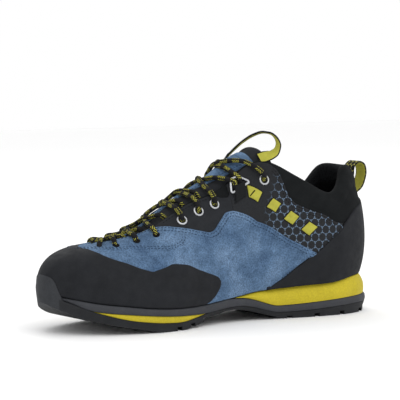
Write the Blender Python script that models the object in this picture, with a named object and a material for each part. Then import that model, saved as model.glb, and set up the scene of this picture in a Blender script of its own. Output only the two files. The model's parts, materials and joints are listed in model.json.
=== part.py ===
"""A right approach shoe: suede upper with rubber rands, padded collar, over-laced tongue and a layered sole.

Shoe coordinates are in millimetres: s runs from the heel (0) to the toe, y across (medial negative)
and z up from the ground. The toe points to -X, so the medial side faces -Y.
"""
import math

import bmesh
import bpy
import numpy as np

MM = 0.001
GAP = 0.3
FINE_STEPS = 201

# The middle of the finished shoe, which is the origin in plan.
MIDDLE_S = 149.0
MIDDLE_Y = 0.6

# The sole's outline in plan, and how far the upper's foot is set in from it.
OUTLINE_COLUMNS = ("name", "s", "medial", "lateral", "foot_inset")
OUTLINE = (
    ("heel", 0.0, 0.0, 0.0, 5.0),
    ("heel corner", 6.0, -17.5, 17.5, 4.5),
    ("tab side", 21.0, -29.5, 29.5, 3.5),
    ("tab drop", 38.0, -34.5, 34.5, 2.8),
    ("ankle dip", 55.0, -35.0, 36.0, 2.3),
    ("collar middle", 74.0, -33.5, 37.0, 2.0),
    ("collar front", 92.0, -31.0, 38.0, 2.0),
    ("flap corner", 108.0, -30.0, 39.5, 2.0),
    ("flap top", 123.0, -29.5, 41.0, 2.0),
    ("flap front", 139.0, -31.0, 43.0, 2.0),
    ("notch", 156.0, -34.5, 46.0, 2.0),
    ("middle eyelet", 175.0, -40.0, 49.0, 2.0),
    ("first eyelet", 196.0, -47.0, 51.5, 2.2),
    ("ball", 218.0, -50.5, 51.0, 2.4),
    ("throat end", 241.0, -49.5, 45.5, 2.6),
    ("throat nose", 264.0, -43.0, 35.5, 2.8),
    ("toe side", 284.0, -31.0, 21.0, 3.0),
    ("toe corner", 296.0, -18.0, 4.5, 3.2),
    ("toe", 300.0, -7.5, -7.5, 3.2),
)

# Ribs of the last, one at each outline row: the end on the collar or throat edge, and the curve's handles.
RIB_COLUMNS = ("top_s", "top_y", "top_z", "low_out", "low_up", "high_out", "high_down")
MEDIAL_RIBS = (
    (16.0, 0.0, 115.0, 10.0, 22.0, 15.0, 23.0),
    (19.5, -12.0, 115.5, 9.0, 22.0, 13.0, 23.0),
    (29.5, -21.0, 114.0, 6.5, 23.0, 10.5, 24.0),
    (38.0, -27.0, 103.0, 5.5, 23.0, 8.5, 24.0),
    (50.0, -30.5, 95.0, 4.5, 23.0, 7.0, 24.0),
    (67.0, -30.5, 101.5, 4.0, 25.0, 6.0, 26.0),
    (85.0, -27.5, 111.5, 4.0, 27.0, 7.0, 30.0),
    (102.0, -21.5, 121.0, 5.0, 30.0, 10.0, 32.0),
    (117.0, -17.0, 121.5, 6.0, 30.0, 14.0, 32.0),
    (132.0, -17.0, 113.0, 6.0, 28.0, 15.0, 30.0),
    (150.0, -19.0, 101.0, 6.0, 27.0, 15.0, 26.0),
    (172.0, -19.5, 94.5, 5.0, 26.0, 15.0, 22.0),
    (193.0, -18.0, 84.0, 3.0, 25.0, 18.0, 15.0),
    (212.0, -15.0, 73.0, 2.0, 24.0, 20.0, 8.0),
    (230.0, -11.0, 67.5, 2.0, 23.0, 20.0, 4.0),
    (241.5, -7.0, 65.0, 3.0, 23.0, 24.0, 2.0),
    (246.5, -4.0, 64.0, 3.0, 23.5, 28.0, 0.0),
    (248.5, -2.0, 63.2, 4.0, 24.0, 31.0, -0.5),
    (249.0, 0.0, 62.8, 4.0, 24.0, 32.0, -0.5),
)
LATERAL_RIBS = (
    (16.0, 0.0, 115.0, 10.0, 22.0, 15.0, 23.0),
    (18.5, 12.0, 115.5, 9.0, 22.0, 13.0, 23.0),
    (26.0, 21.0, 113.0, 6.5, 23.0, 10.5, 24.0),
    (34.0, 27.0, 101.0, 5.5, 23.0, 8.5, 24.0),
    (47.0, 31.0, 92.0, 4.5, 23.0, 7.0, 24.0),
    (65.0, 31.5, 98.0, 4.0, 25.0, 6.0, 26.0),
    (84.0, 28.5, 109.0, 4.0, 27.0, 8.0, 30.0),
    (101.0, 22.5, 118.0, 4.0, 28.0, 12.0, 32.0),
    (116.0, 18.5, 118.5, 4.0, 27.0, 17.0, 30.0),
    (131.0, 18.5, 110.0, 4.0, 26.0, 18.0, 28.0),
    (149.0, 19.0, 98.0, 4.0, 25.0, 18.0, 24.0),
    (171.0, 19.0, 89.5, 3.0, 24.0, 18.0, 20.0),
    (192.0, 17.5, 79.0, 2.0, 23.0, 20.0, 14.0),
    (211.0, 15.0, 69.5, 2.0, 22.0, 20.0, 8.0),
    (229.0, 11.5, 64.5, 2.0, 22.0, 20.0, 4.0),
    (241.0, 8.0, 63.0, 3.0, 22.0, 22.0, 2.0),
    (246.0, 5.0, 62.7, 3.0, 23.0, 26.0, 0.0),
    (248.5, 2.5, 62.5, 4.0, 24.0, 30.0, -1.0),
    (249.0, 0.0, 62.8, 4.0, 24.0, 32.0, -0.5),
)
TOE_ROW = len(OUTLINE) - 1
LOOP_ROWS = 2 * TOE_ROW

# Heights of the sole's layers along its edge.
SOLE_COLUMNS = ("s", "foot", "wedge_bottom", "frame_bottom", "insert_bottom", "tread")
SOLE_HEIGHTS = (
    (0.0, 30.5, 14.8, 8.5, 8.5, 1.5),
    (25.0, 29.8, 14.2, 8.2, 8.2, 0.3),
    (50.0, 26.2, 12.8, 7.0, 7.0, 0.0),
    (75.0, 25.2, 11.4, 5.7, 5.7, 0.0),
    (92.0, 24.2, 10.8, 5.4, 5.4, 0.0),
    (102.0, 23.7, 11.0, 5.8, 5.8, 1.6),
    (112.0, 23.0, 13.8, 8.2, 8.2, 4.6),
    (122.0, 22.0, 16.8, 10.8, 10.8, 7.2),
    (132.0, 20.6, 18.6, 12.4, 12.4, 9.2),
    (146.0, 18.9, 18.9, 12.4, 12.4, 9.8),
    (160.0, 17.6, 17.6, 11.3, 11.3, 8.0),
    (171.0, 16.9, 16.9, 10.5, 10.4, 5.0),
    (184.0, 16.6, 16.6, 10.6, 8.3, 1.8),
    (198.0, 16.7, 16.7, 11.1, 6.6, 0.0),
    (214.0, 17.4, 17.4, 12.1, 7.0, 0.0),
    (229.0, 18.7, 18.7, 13.4, 8.4, 2.2),
    (246.0, 20.9, 20.9, 15.2, 11.0, 5.2),
    (261.0, 22.8, 22.8, 16.8, 14.8, 8.0),
    (272.0, 24.6, 24.6, 18.6, 18.4, 10.0),
    (287.0, 28.3, 28.3, 25.0, 25.0, 13.8),
    (296.0, 30.3, 30.3, 28.6, 28.6, 18.0),
    (300.0, 31.0, 31.0, 29.6, 29.6, 20.5),
)

# The side of each layer: how far down its height, and how far in from the outline.
WEDGE_SIDE = ((0.0, 1.6), (0.4, -0.6), (1.0, 0.6))
FRAME_SIDE = ((0.0, 0.9), (0.4, -0.3), (1.0, 0.3))
INSERT_SIDE = ((0.0, 1.2), (0.5, 0.7), (1.0, 0.9))
WEDGE_FRONT_S = 139.0
INSERT_FROM_S = 173.0
INSERT_TO_S = 271.0
FRAME_TO_S = 296.0
TOE_TUCK = 2.4
TUCK_S = (272.0, 286.0)

# The outsole: a slab with lugs below it and a rubber lip up the toe.
SLAB = 3.2
LUG_DEPTH = 3.0
OUTSOLE_EDGE = 0.2
OUTSOLE_FOOT = 1.6
LUG_LINES = (-1.0, -0.64, -0.5, -0.08, 0.08, 0.5, 0.64, 1.0)
EDGE_LUG = (1, 1, 0)
INNER_LUG = (0, 1, 1)
HEEL_LUGS_S = (8.0, 101.0)
FORE_LUGS_S = (174.0, 262.0)
LUG_ROW = 5.5
LUG_FADE = 6.0
HEEL_STRIPS_S = (0.0, 2.0, 5.0)
ARCH_STRIPS = 8
TOE_STRIPS_S = (262.0, 268.0, 274.0, 280.0, 286.0, 289.0, 293.0, 296.0, 298.5, 300.0)
EDGE_BAND_FROM_S = 207.0
LIP_RISE = ((286.0, 0.0), (289.0, 5.0), (293.0, 11.0), (296.0, 13.0), (300.0, 13.5))
LIP_INNER = 2.4
LIP_THICKNESS = 2.2
LIP_TO_V = 0.5
LIP_LOW_SHARE = 0.4
LIP_MIDDLE_SHARE = 0.35
LIP_TOP_THICKNESS = 1.65
LIP_OUT = 1.0

# The upper's wall, which is padded at the collar.
WALL = 2.0
COLLAR_WALL = 6.5
COLLAR_ROWS = (4.8, 6.8)
COLLAR_FROM_V = 0.70
COLLAR_FULL_V = 0.90
OUTER_V = (0.0, 0.1, 0.2, 0.32, 0.44, 0.56, 0.67, 0.78, 0.87, 0.95, 1.0)
INNER_V = (0.98, 0.90, 0.78, 0.64, 0.48, 0.32, 0.16, 0.0)
RIM_ROUND = 0.25
UPPER_COLUMNS = 72

INSOLE_CLEAR = 1.0
INSOLE_EDGE = 6.0
INSOLE_MIDDLE = 4.5

# Overlays sewn or glued on the upper: their edges, as places on its side given by s and z.
OVERLAY_OFF = 0.5
OVERLAY_THICK = 1.3
TOE_RAND_TOP = (
    (158.0, 34.0), (162.0, 37.3), (171.0, 40.8), (181.0, 44.3), (191.0, 48.5), (205.0, 49.8),
    (215.0, 47.0), (223.0, 44.8), (233.0, 47.8), (241.0, 51.3), (252.0, 55.0), (258.5, 58.5), (264.0, 60.5),
)
TOE_RAND_REAR = ((158.0, 33.0), (161.5, 27.8), (168.0, 20.0), (172.5, 16.9))
HEEL_RAND_TOP = ((110.0, 23.5), (94.0, 33.0), (67.5, 50.5), (53.0, 62.0), (40.0, 72.0), (24.0, 83.0))
HEEL_RAND_BACK_Z = 92.0
SUEDE_BORDER = (
    (208.0, 74.5), (192.0, 75.0), (178.0, 72.8), (166.0, 70.6), (161.0, 72.0), (156.0, 77.0), (148.0, 85.0),
    (141.0, 86.0), (135.0, 84.5), (120.0, 77.0), (99.0, 67.0), (83.5, 59.0), (67.5, 50.8),
)
COLLAR_BORDER = (
    (103.0, 120.5), (97.0, 115.0), (94.0, 107.0), (91.0, 96.0), (85.0, 89.6), (73.0, 84.4), (58.0, 79.6),
    (40.0, 72.6),
)
FLAP_REAR = (42.0, 72.0)
FLAP_FRONT_ROW = 9.55
PANEL_GAP_V = 0.012
EYESTAY_FRONT_ROW = 12.7
EDGE_V = 0.985
FOOT_V = 0.014

# The tongue's crown over the chord between the throat's two edges, a row for each section.
CROWN_COLUMNS = ("row", "lift")
CROWN = ((8.0, 7.5), (9.0, 8.0), (10.0, 8.0), (11.0, 3.0), (12.0, 0.0), (13.0, 0.0), (14.0, -0.5), (15.0, -1.0),
         (16.0, -1.5), (17.0, -2.0))
LIFT_AXIS = (0.45, 0.0, 0.89)
TONGUE_CLEAR = 1.5
TONGUE_FRONT_CLEAR = 2.6
TONGUE_WING_V = 0.84
TONGUE_THICK = 3.5
SHOULDER_RISE = 0.78
SHOULDER_SPREAD = 0.55
WING_SPREAD = 1.0
# The tongue's free end: a name, s of its middle and its edges, y of both edges, z of the wings, edges and
# crown, and the thickness.
TONGUE_TOP = (
    ("pad top", 103.0, 98.0, -17.0, 18.0, 118.5, 122.5, 132.5, 3.0),
    ("pad rim", 105.0, 100.0, -18.0, 19.0, 117.5, 122.5, 132.5, 6.0),
    ("pad", 110.0, 106.0, -15.5, 16.5, 114.0, 119.0, 130.5, 6.5),
)
TONGUE_TURN_ROW = 13.6
TONGUE_TURN = 0.3
TONGUE_FRONT_ROWS = (14.9, 15.9, 17.0, 18.0, 19.0, 20.1, 21.1)
TONGUE_FRONT_V = 0.80

# Lace stations from the toe up: the hole's place on each side, s and z.
LACE_RADIUS = 1.9
LACE_SIDES = 6
LACE_SECTIONS = 8
LACE_LIFT = 0.7
STRAND_BENDS = (0.72, 0.4, 0.0, -0.5, -0.85)
CROSS_SHARE = (0.36, 0.42, 0.29, 0.21, 0.15, 0.23, 0.0)
EDGE_SHARE = (0.85, 0.75, 0.7, 0.6, 0.55, 0.7, 0.5)
LACE_STOP = {"hole": 3.0, "eyelet": 8.9, "ring": 10.5, "top": 8.0}
BAR_ROW = 15.9
STATIONS = (
    ("hole 1", 241.0, 63.3), ("hole 2", 224.0, 66.0), ("hole 3", 208.0, 70.3), ("eyelet 1", 187.0, 81.0),
    ("eyelet 2", 172.0, 87.3), ("eyelet 3", 157.0, 92.0), ("ring", 133.0, 105.0), ("top eyelet", 111.0, 109.0),
)
EYELET_STATIONS = ((3, "1"), (4, "2"), (5, "3"), (7, "top"))
EYELET_RADIUS = 3.9
EYELET_WIRE = 1.1
RING_STATION = 6
RING_OUTLINE = ((-7.5, 5.0), (7.0, 4.0), (7.5, -2.0), (0.5, -7.5), (-7.0, -3.0))
RING_WIRE = 1.1

# A woven strap shows between slits in the flap, as four short lengths: centre s and z.
STRAP_CENTRES = ((125.5, 94.5), (111.0, 88.5), (97.0, 79.5), (83.5, 71.0))
STRAP_HALF = 4.6
STRAP_SLOPE = -0.62
STRAP_THICK = 1.0

# Pull loops of webbing, a row for each bend: its place and the direction of the band's width, both as s, y, z.
TONGUE_LOOP = (
    (123.8, 9.5, 122.6, 0.0, 0.80, -0.60), (122.2, 10.0, 124.6, -0.2, 0.82, -0.50),
    (119.8, 11.2, 126.6, -0.5, 0.84, -0.10), (112.8, 13.0, 131.6, -0.55, 0.83, -0.09),
    (103.4, 13.0, 138.2, -0.55, 0.83, -0.09), (96.2, 11.0, 142.3, -0.55, 0.83, -0.09),
    (90.6, 6.2, 144.7, -0.55, 0.83, 0.0), (85.0, -1.0, 143.4, -0.45, 0.88, 0.10),
    (83.0, -7.8, 138.9, -0.35, 0.92, 0.15), (85.0, -12.8, 132.6, -0.2, 0.95, 0.20),
    (90.0, -14.9, 128.5, -0.1, 0.93, 0.35), (95.6, -16.2, 127.1, -0.1, 0.80, 0.60),
    (100.2, -16.4, 127.0, -0.1, 0.64, 0.80), (104.4, -15.6, 126.2, -0.1, 0.58, 0.88),
)
TONGUE_LOOP_WIDTH = 10.0
HEEL_LOOP = (
    (9.3, 0.0, 109.0, 0.0, 1.0, 0.0), (8.4, 0.0, 115.0, 0.0, 1.0, 0.0), (3.6, 0.0, 118.4, 0.0, 1.0, 0.0),
    (-1.4, 0.0, 116.4, 0.0, 1.0, 0.0), (-3.2, 0.0, 111.0, 0.0, 1.0, 0.0), (-2.0, 0.0, 104.0, 0.0, 1.0, 0.0),
    (0.9, 0.0, 98.0, 0.0, 1.0, 0.0),
)
HEEL_LOOP_SEATS_Z = (103.5, 93.8)
HEEL_LOOP_WIDTH = 14.0
WEBBING = 1.4

COLOURS = {
    "suede": ((0.135, 0.215, 0.36), 0.95, 0.0),
    "rubber": ((0.020, 0.021, 0.024), 0.7, 0.0),
    "frame grey": ((0.085, 0.088, 0.10), 0.6, 0.0),
    "foam yellow": ((0.48, 0.40, 0.045), 0.6, 0.0),
    "softshell": ((0.022, 0.023, 0.027), 0.85, 0.0),
    "webbing": ((0.50, 0.47, 0.10), 0.8, 0.0),
    "lace": ((0.03, 0.03, 0.03), 0.8, 0.0),
    "eyelet metal": ((0.80, 0.80, 0.82), 0.3, 1.0),
    "footbed": ((0.05, 0.05, 0.055), 0.9, 0.0),
}


def remove_everything():
    for item in list(bpy.data.objects):
        bpy.data.objects.remove(item)


def make_materials():
    made = {}
    for name, (colour, roughness, metallic) in COLOURS.items():
        material = bpy.data.materials.new(name)
        material.use_nodes = True
        shader = material.node_tree.nodes["Principled BSDF"]
        shader.inputs["Base Color"].default_value = (*colour, 1.0)
        shader.inputs["Roughness"].default_value = roughness
        shader.inputs["Metallic"].default_value = metallic
        made[name] = material
    return made


def table_spline(rows, columns, column):
    """A smooth curve through one column of a table, against its first column."""
    xs = np.array([row[0] for row in rows], float)
    ys = np.array([row[columns.index(column)] for row in rows], float)
    slopes = np.gradient(ys, xs)

    def value(x):
        x = np.clip(np.asarray(x, float), xs[0], xs[-1])
        i = np.clip(np.searchsorted(xs, x) - 1, 0, len(xs) - 2)
        span = xs[i + 1] - xs[i]
        t = (x - xs[i]) / span
        start = (1 + 2 * t) * (1 - t) ** 2 * ys[i] + t * (1 - t) ** 2 * span * slopes[i]
        end = t * t * (3 - 2 * t) * ys[i + 1] + t * t * (t - 1) * span * slopes[i + 1]
        return start + end

    return value


def loop_spline(medial, lateral):
    """A closed smooth curve through the medial rows, heel to toe, and back through the lateral rows."""
    knots = np.array(list(medial) + list(lateral[-2:0:-1]), float)
    count = len(knots)
    system = 4 * np.eye(count) + np.roll(np.eye(count), 1, 1) + np.roll(np.eye(count), -1, 1)
    second = np.linalg.solve(system, 6 * (np.roll(knots, -1) - 2 * knots + np.roll(knots, 1)))

    def value(row):
        row = np.asarray(row, float) % count
        i = np.floor(row).astype(int) % count
        j = (i + 1) % count
        t = row - np.floor(row)
        bend = t * (1 - t) / 6 * ((2 - t) * second[i] + (1 + t) * second[j])
        return (1 - t) * knots[i] + t * knots[j] - bend

    return value


def outline_loop(medial_column, lateral_column):
    medial = OUTLINE_COLUMNS.index(medial_column)
    lateral = OUTLINE_COLUMNS.index(lateral_column)
    return loop_spline([row[medial] for row in OUTLINE], [row[lateral] for row in OUTLINE])


outline_s = outline_loop("s", "s")
outline_y = outline_loop("medial", "lateral")
foot_inset = outline_loop("foot_inset", "foot_inset")
rib = {
    name: loop_spline([row[i] for row in MEDIAL_RIBS], [row[i] for row in LATERAL_RIBS])
    for i, name in enumerate(RIB_COLUMNS)
}
sole_height = {name: table_spline(SOLE_HEIGHTS, SOLE_COLUMNS, name) for name in SOLE_COLUMNS[1:]}
crown_lift = table_spline(CROWN, CROWN_COLUMNS, "lift")


def smooth_step(low, high, x):
    t = np.clip((np.asarray(x, float) - low) / (high - low), 0.0, 1.0)
    return t * t * (3 - 2 * t)


def plan_normal(row):
    """The outline's outward direction in plan, as s and y."""
    step = 0.01
    ds = outline_s(row + step) - outline_s(row - step)
    dy = outline_y(row + step) - outline_y(row - step)
    size = np.hypot(ds, dy)
    return dy / size, -ds / size


def outline_point(row, inset):
    normal_s, normal_y = plan_normal(row)
    return outline_s(row) - inset * normal_s, outline_y(row) - inset * normal_y


def upper_point(row, v):
    """The upper's outer face: row goes round the shoe, v up from the sole (0) to the collar or throat (1)."""
    row, v = np.broadcast_arrays(np.asarray(row, float), np.asarray(v, float))
    low_s, low_y = outline_point(row, foot_inset(row))
    low_z = sole_height["foot"](low_s)
    normal_s, normal_y = plan_normal(row)
    top_s, top_y, top_z, low_out, low_up, high_out, high_down = (rib[name](row) for name in RIB_COLUMNS)
    knots = (
        (low_s, low_y, low_z),
        (low_s + low_out * normal_s, low_y + low_out * normal_y, low_z + low_up),
        (top_s + high_out * normal_s, top_y + high_out * normal_y, top_z - high_down),
        (top_s, top_y, top_z),
    )
    weights = ((1 - v) ** 3, 3 * v * (1 - v) ** 2, 3 * v * v * (1 - v), v**3)
    return np.stack([sum(w * knot[axis] for w, knot in zip(weights, knots)) for axis in range(3)], -1)


def upper_normal(row, v):
    """The outward direction of the upper's outer face."""
    row, v = np.broadcast_arrays(np.asarray(row, float), np.asarray(v, float))
    step = 0.02
    v = np.clip(v, step, 1 - step)
    along = upper_point(row + step, v) - upper_point(row - step, v)
    rise = upper_point(row, v + step) - upper_point(row, v - step)
    normal = np.cross(along, rise)
    return normal / np.linalg.norm(normal, axis=-1, keepdims=True)


def wall_thickness(row, v):
    """The upper's wall is thin below and padded towards the collar."""
    row = np.asarray(row, float) % LOOP_ROWS
    from_heel = np.minimum(row, LOOP_ROWS - row)
    at_collar = 1 - smooth_step(COLLAR_ROWS[0], COLLAR_ROWS[1], from_heel)
    return WALL + (COLLAR_WALL - WALL) * at_collar * smooth_step(COLLAR_FROM_V, COLLAR_FULL_V, v)


def upper_layer(row, v, off):
    """A point off the upper's outer face, outwards where off is positive."""
    return upper_point(row, v) + upper_normal(row, v) * np.asarray(off, float)[..., None]


def row_at(s):
    """The medial outline row at a distance from the heel."""
    rows = np.linspace(0, TOE_ROW, 721)
    return np.interp(s, outline_s(rows), rows)


def medial_place(s, z):
    """The row and v of the place on the medial face that has this s and z."""
    rows, vs = np.meshgrid(np.linspace(0, TOE_ROW, 181), np.linspace(0, 1, 41), indexing="ij")
    grid = upper_point(rows, vs)
    nearest = np.argmin((grid[..., 0] - s) ** 2 + (grid[..., 2] - z) ** 2)
    place = np.array([rows.flat[nearest], vs.flat[nearest]])
    for _ in range(6):
        here = upper_point(*place)
        miss = np.array([s - here[0], z - here[2]])
        row_slope = (upper_point(place[0] + 0.01, place[1]) - here)[[0, 2]] / 0.01
        v_slope = (upper_point(place[0], place[1] - 0.001) - here)[[0, 2]] / -0.001
        slopes = np.stack([row_slope, v_slope], 1)
        if abs(np.linalg.det(slopes)) < 1.0:
            break
        place = place + np.clip(np.linalg.solve(slopes, miss), (-0.5, -0.1), (0.5, 0.1))
        place[1] = np.clip(place[1], 0.0, 1.0)
    return place


def on_side(side, row):
    """A medial row, or the same row across the shoe."""
    return LOOP_ROWS - row if side > 0 else row


def edge_curve(places):
    """An overlay's edge as v against the row, the same on both sides, through places given by s and z."""
    found = sorted(tuple(medial_place(s, z)) for s, z in places)
    rows, vs = zip(*found)

    def value(row):
        row = row % LOOP_ROWS
        return np.interp(min(row, LOOP_ROWS - row), rows, vs)

    return value


def add_solid(name, polygons, material, smooth=40.0):
    """One closed object from loose polygons in shoe millimetres, welded where their corners meet."""
    corners = []
    faces = []
    for polygon in polygons:
        faces.append(tuple(range(len(corners), len(corners) + len(polygon))))
        corners.extend(polygon)
    corners = np.array(corners, float)
    world = np.stack([MIDDLE_S - corners[:, 0], corners[:, 1] - MIDDLE_Y, corners[:, 2]], 1) * MM
    mesh = bpy.data.meshes.new(name)
    mesh.from_pydata([tuple(point) for point in world.tolist()], [], faces)
    work = bmesh.new()
    work.from_mesh(mesh)
    bmesh.ops.remove_doubles(work, verts=work.verts, dist=0.02 * MM)
    bmesh.ops.recalc_face_normals(work, faces=work.faces)
    if work.calc_volume(signed=True) < 0:
        bmesh.ops.reverse_faces(work, faces=work.faces)
    work.to_mesh(mesh)
    work.free()
    mesh.materials.append(material)
    mesh.shade_smooth()
    mesh.set_sharp_from_angle(angle=math.radians(smooth))
    item = bpy.data.objects.new(name, mesh)
    bpy.context.collection.objects.link(item)
    return item


def swept_polygons(profiles, wrap=False, start_cap=True, end_cap=True):
    """The faces of a row of closed profiles: an array of sections, corners and coordinates."""
    sections, corners = profiles.shape[:2]
    polygons = []
    for i in range(sections if wrap else sections - 1):
        here, there = profiles[i], profiles[(i + 1) % sections]
        for j in range(corners):
            k = (j + 1) % corners
            polygons.append((here[j], there[j], there[k], here[k]))
    if not wrap and start_cap:
        polygons.append(tuple(profiles[0][::-1]))
    if not wrap and end_cap:
        polygons.append(tuple(profiles[-1]))
    return polygons


def make_sole_layer(name, s_range, top, bottom, side, material, tuck=0.0):
    """A layer of the sole between two height curves, with the given side."""
    first, last = row_at(s_range[0]), row_at(s_range[1])
    step = np.concatenate([np.arange(0, 6, 0.5), np.arange(6, 11, 0.25), np.arange(11, TOE_ROW + 0.1, 0.5)])
    inside = step[(step > first + 0.1) & (step < last - 0.1)]
    rows = np.concatenate([[first], inside, [last]])
    profiles = []
    for row in rows:
        half = []
        for around in (row, LOOP_ROWS - row):
            edge = []
            for down, inset in side:
                pull = tuck * smooth_step(*TUCK_S, outline_s(row))
                s, y = outline_point(around, inset + pull)
                high, low = top(s), bottom(s)
                edge.append((s, y, high + (low - high) * down))
            half.append(edge)
        profiles.append(half[0] + half[1][::-1])
    tip = s_range[0] == 0.0
    polygons = swept_polygons(np.array(profiles, float), start_cap=not tip)
    return add_solid(name, polygons, material)


def lug_rows():
    """The outsole's rows: their s, and whether the strip after each has edge and inner lugs."""
    strips = [(s, 0, 0) for s in HEEL_STRIPS_S]
    for start, end in (HEEL_LUGS_S, FORE_LUGS_S):
        count = int(round((end - start) / LUG_ROW))
        pitch = (end - start) / count
        for i in range(count):
            s = start + i * pitch
            edge = 1 if s > EDGE_BAND_FROM_S else EDGE_LUG[i % 3]
            strips.append((s, edge, INNER_LUG[i % 3]))
        if start == HEEL_LUGS_S[0]:
            strips += [(s, 0, 0) for s in np.linspace(end, FORE_LUGS_S[0], ARCH_STRIPS + 1)[:-1]]
    strips += [(s, 0, 0) for s in TOE_STRIPS_S]
    return strips


def outsole_side(around):
    """The outsole's edge at one row, from its top inside the toe lip down to where the lugs start."""
    s_edge = outline_s(around)
    rise = np.interp(s_edge, *zip(*LIP_RISE))
    top_s, top_y = outline_point(around, OUTSOLE_EDGE)
    top_z = sole_height["insert_bottom"](top_s) - GAP
    top = (top_s, top_y, top_z)
    inner = lip_low = lip_in = lip_out = middle_out = top
    if rise > 0:
        vs = np.linspace(0.0, LIP_TO_V, FINE_STEPS)
        heights = upper_point(around, vs)[:, 2]
        v_top = np.interp(heights[0] + rise, heights, vs)
        in_s, in_y = outline_point(around, foot_inset(around) - LIP_INNER)
        inner = (in_s, in_y, sole_height["insert_bottom"](in_s) - GAP)
        lip_low = tuple(upper_layer(around, v_top * LIP_LOW_SHARE, LIP_INNER))
        lip_in = tuple(upper_layer(around, v_top, LIP_INNER))
        lip_out = tuple(upper_layer(around, v_top, LIP_INNER + LIP_TOP_THICKNESS))
        middle_out = tuple(upper_layer(around, v_top * LIP_MIDDLE_SHARE, LIP_INNER + LIP_THICKNESS))
        out_s, out_y = outline_point(around, -LIP_OUT)
        top = (out_s, out_y, top_z)
    base_s, base_y = outline_point(around, OUTSOLE_FOOT)
    base_z, tread_z = tread_heights(base_s)
    side = [inner, lip_low, lip_in, lip_out, middle_out, top]
    return side, (base_s, base_y, base_z), (base_s, base_y, tread_z)


def tread_heights(s):
    """The heights of the slab's underside and of the lugs' faces."""
    tread = np.maximum(sole_height["tread"](s), 0.0)
    top = sole_height["insert_bottom"](s) - GAP
    lug = np.clip(top - tread - SLAB, 0.0, LUG_DEPTH)
    lug = lug * (1 - smooth_step(FORE_LUGS_S[1] - LUG_FADE, FORE_LUGS_S[1], s))
    return tread + lug, tread


def make_outsole(material):
    strips = lug_rows()
    rows = [row_at(strip[0]) for strip in strips]
    rows[-1] = TOE_ROW
    sections = []
    for row in rows:
        near, near_base, near_tread = outsole_side(row)
        far, far_base, far_tread = outsole_side(LOOP_ROWS - row)
        across = [(line + 1) / 2 for line in LUG_LINES]
        base = [tuple(a + (b - a) * t for a, b in zip(near_base, far_base)) for t in across]
        tread = [tuple(a + (b - a) * t for a, b in zip(near_tread, far_tread)) for t in across]
        sections.append((near, far, base, tread))
    polygons = []
    for i in range(len(sections) - 1):
        near, far, base, tread = sections[i]
        next_near, next_far, next_base, next_tread = sections[i + 1]
        polygons.append((near[0], next_near[0], next_far[0], far[0]))
        for side, next_side, line in ((near, next_near, 0), (far, next_far, -1)):
            edge = list(side) + [base[line]]
            next_edge = list(next_side) + [next_base[line]]
            for j in range(len(edge) - 1):
                polygons.append((edge[j], next_edge[j], next_edge[j + 1], edge[j + 1]))
        polygons += lug_polygons(strips, sections, i)
    return add_solid("outsole", polygons, material)


def is_lug(strips, i, cell):
    """Whether one cell of the tread is a lug."""
    if not 0 <= i < len(strips) or not 0 <= cell < len(LUG_LINES) - 1 or cell % 2:
        return False
    at_edge = cell in (0, len(LUG_LINES) - 2)
    return bool(strips[i][1] if at_edge else strips[i][2])


def lug_polygons(strips, sections, i):
    """The underside of one strip of the outsole: lug faces, grooves, and the walls between them."""
    base, tread = sections[i][2:]
    next_base, next_tread = sections[i + 1][2:]
    polygons = []
    for cell in range(len(LUG_LINES) - 1):
        lug = is_lug(strips, i, cell)
        low, next_low = (tread, next_tread) if lug else (base, next_base)
        polygons.append((low[cell], low[cell + 1], next_low[cell + 1], next_low[cell]))
        if lug:
            for line, beside in ((cell, cell - 1), (cell + 1, cell + 1)):
                if not is_lug(strips, i, beside):
                    polygons.append((base[line], next_base[line], next_tread[line], tread[line]))
            if not is_lug(strips, i - 1, cell):
                polygons.append((base[cell], base[cell + 1], tread[cell + 1], tread[cell]))
            if not is_lug(strips, i + 1, cell):
                polygons.append((next_base[cell], next_base[cell + 1], next_tread[cell + 1], next_tread[cell]))
    return polygons


def make_insole(material):
    rows = np.concatenate([[0.35], np.arange(1.0, 17.01, 0.5), [17.6]])
    profiles = []
    for row in rows:
        edges = []
        for around in (row, LOOP_ROWS - row):
            s, y = outline_point(around, foot_inset(around) + WALL + INSOLE_CLEAR)
            floor = sole_height["foot"](s)
            edges.append(((s, y, floor + INSOLE_EDGE), (s, y, floor)))
        (near_top, near_low), (far_top, far_low) = edges
        flat = []
        for share in (0.25, 0.75):
            s = near_top[0] + (far_top[0] - near_top[0]) * share
            y = near_top[1] + (far_top[1] - near_top[1]) * share
            flat.append((s, y, sole_height["foot"](s) + INSOLE_MIDDLE))
        profiles.append([near_top, near_low, far_low, far_top, flat[1], flat[0]])
    return add_solid("insole", swept_polygons(np.array(profiles, float)), material)


def make_upper(material):
    rows = np.arange(UPPER_COLUMNS) * LOOP_ROWS / UPPER_COLUMNS
    profiles = []
    for row in rows:
        thick = wall_thickness(row, 1.0)
        outer = [upper_point(row, v) for v in OUTER_V]
        edge = upper_layer(row, 1.0, -0.5 * thick)
        rise = upper_point(row, 1.0) - upper_point(row, 0.96)
        rim = edge + rise / np.linalg.norm(rise) * thick * RIM_ROUND
        inner = [upper_layer(row, v, -wall_thickness(row, v)) for v in INNER_V]
        profiles.append(outer + [rim] + inner)
    return add_solid("upper", swept_polygons(np.array(profiles), wrap=True), material)


def make_overlay(name, rows, low, high, steps, material, thick=OVERLAY_THICK):
    """A sheet on the upper between two edges, each a curve of v against the row."""
    profiles = []
    for row in rows:
        vs = np.linspace(low(row), high(row), steps + 1)
        inner = [upper_layer(row, v, OVERLAY_OFF) for v in vs]
        outer = [upper_layer(row, v, OVERLAY_OFF + thick) for v in vs]
        profiles.append(outer + inner[::-1])
    return add_solid(name, swept_polygons(np.array(profiles)), material)


def half_rows(first, last):
    """Rows at each half step between two ends, with the ends."""
    inside = np.arange(math.floor(first * 2 + 1) / 2, last - 0.05, 0.5)
    return np.concatenate([[first], inside, [last]])


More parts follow.
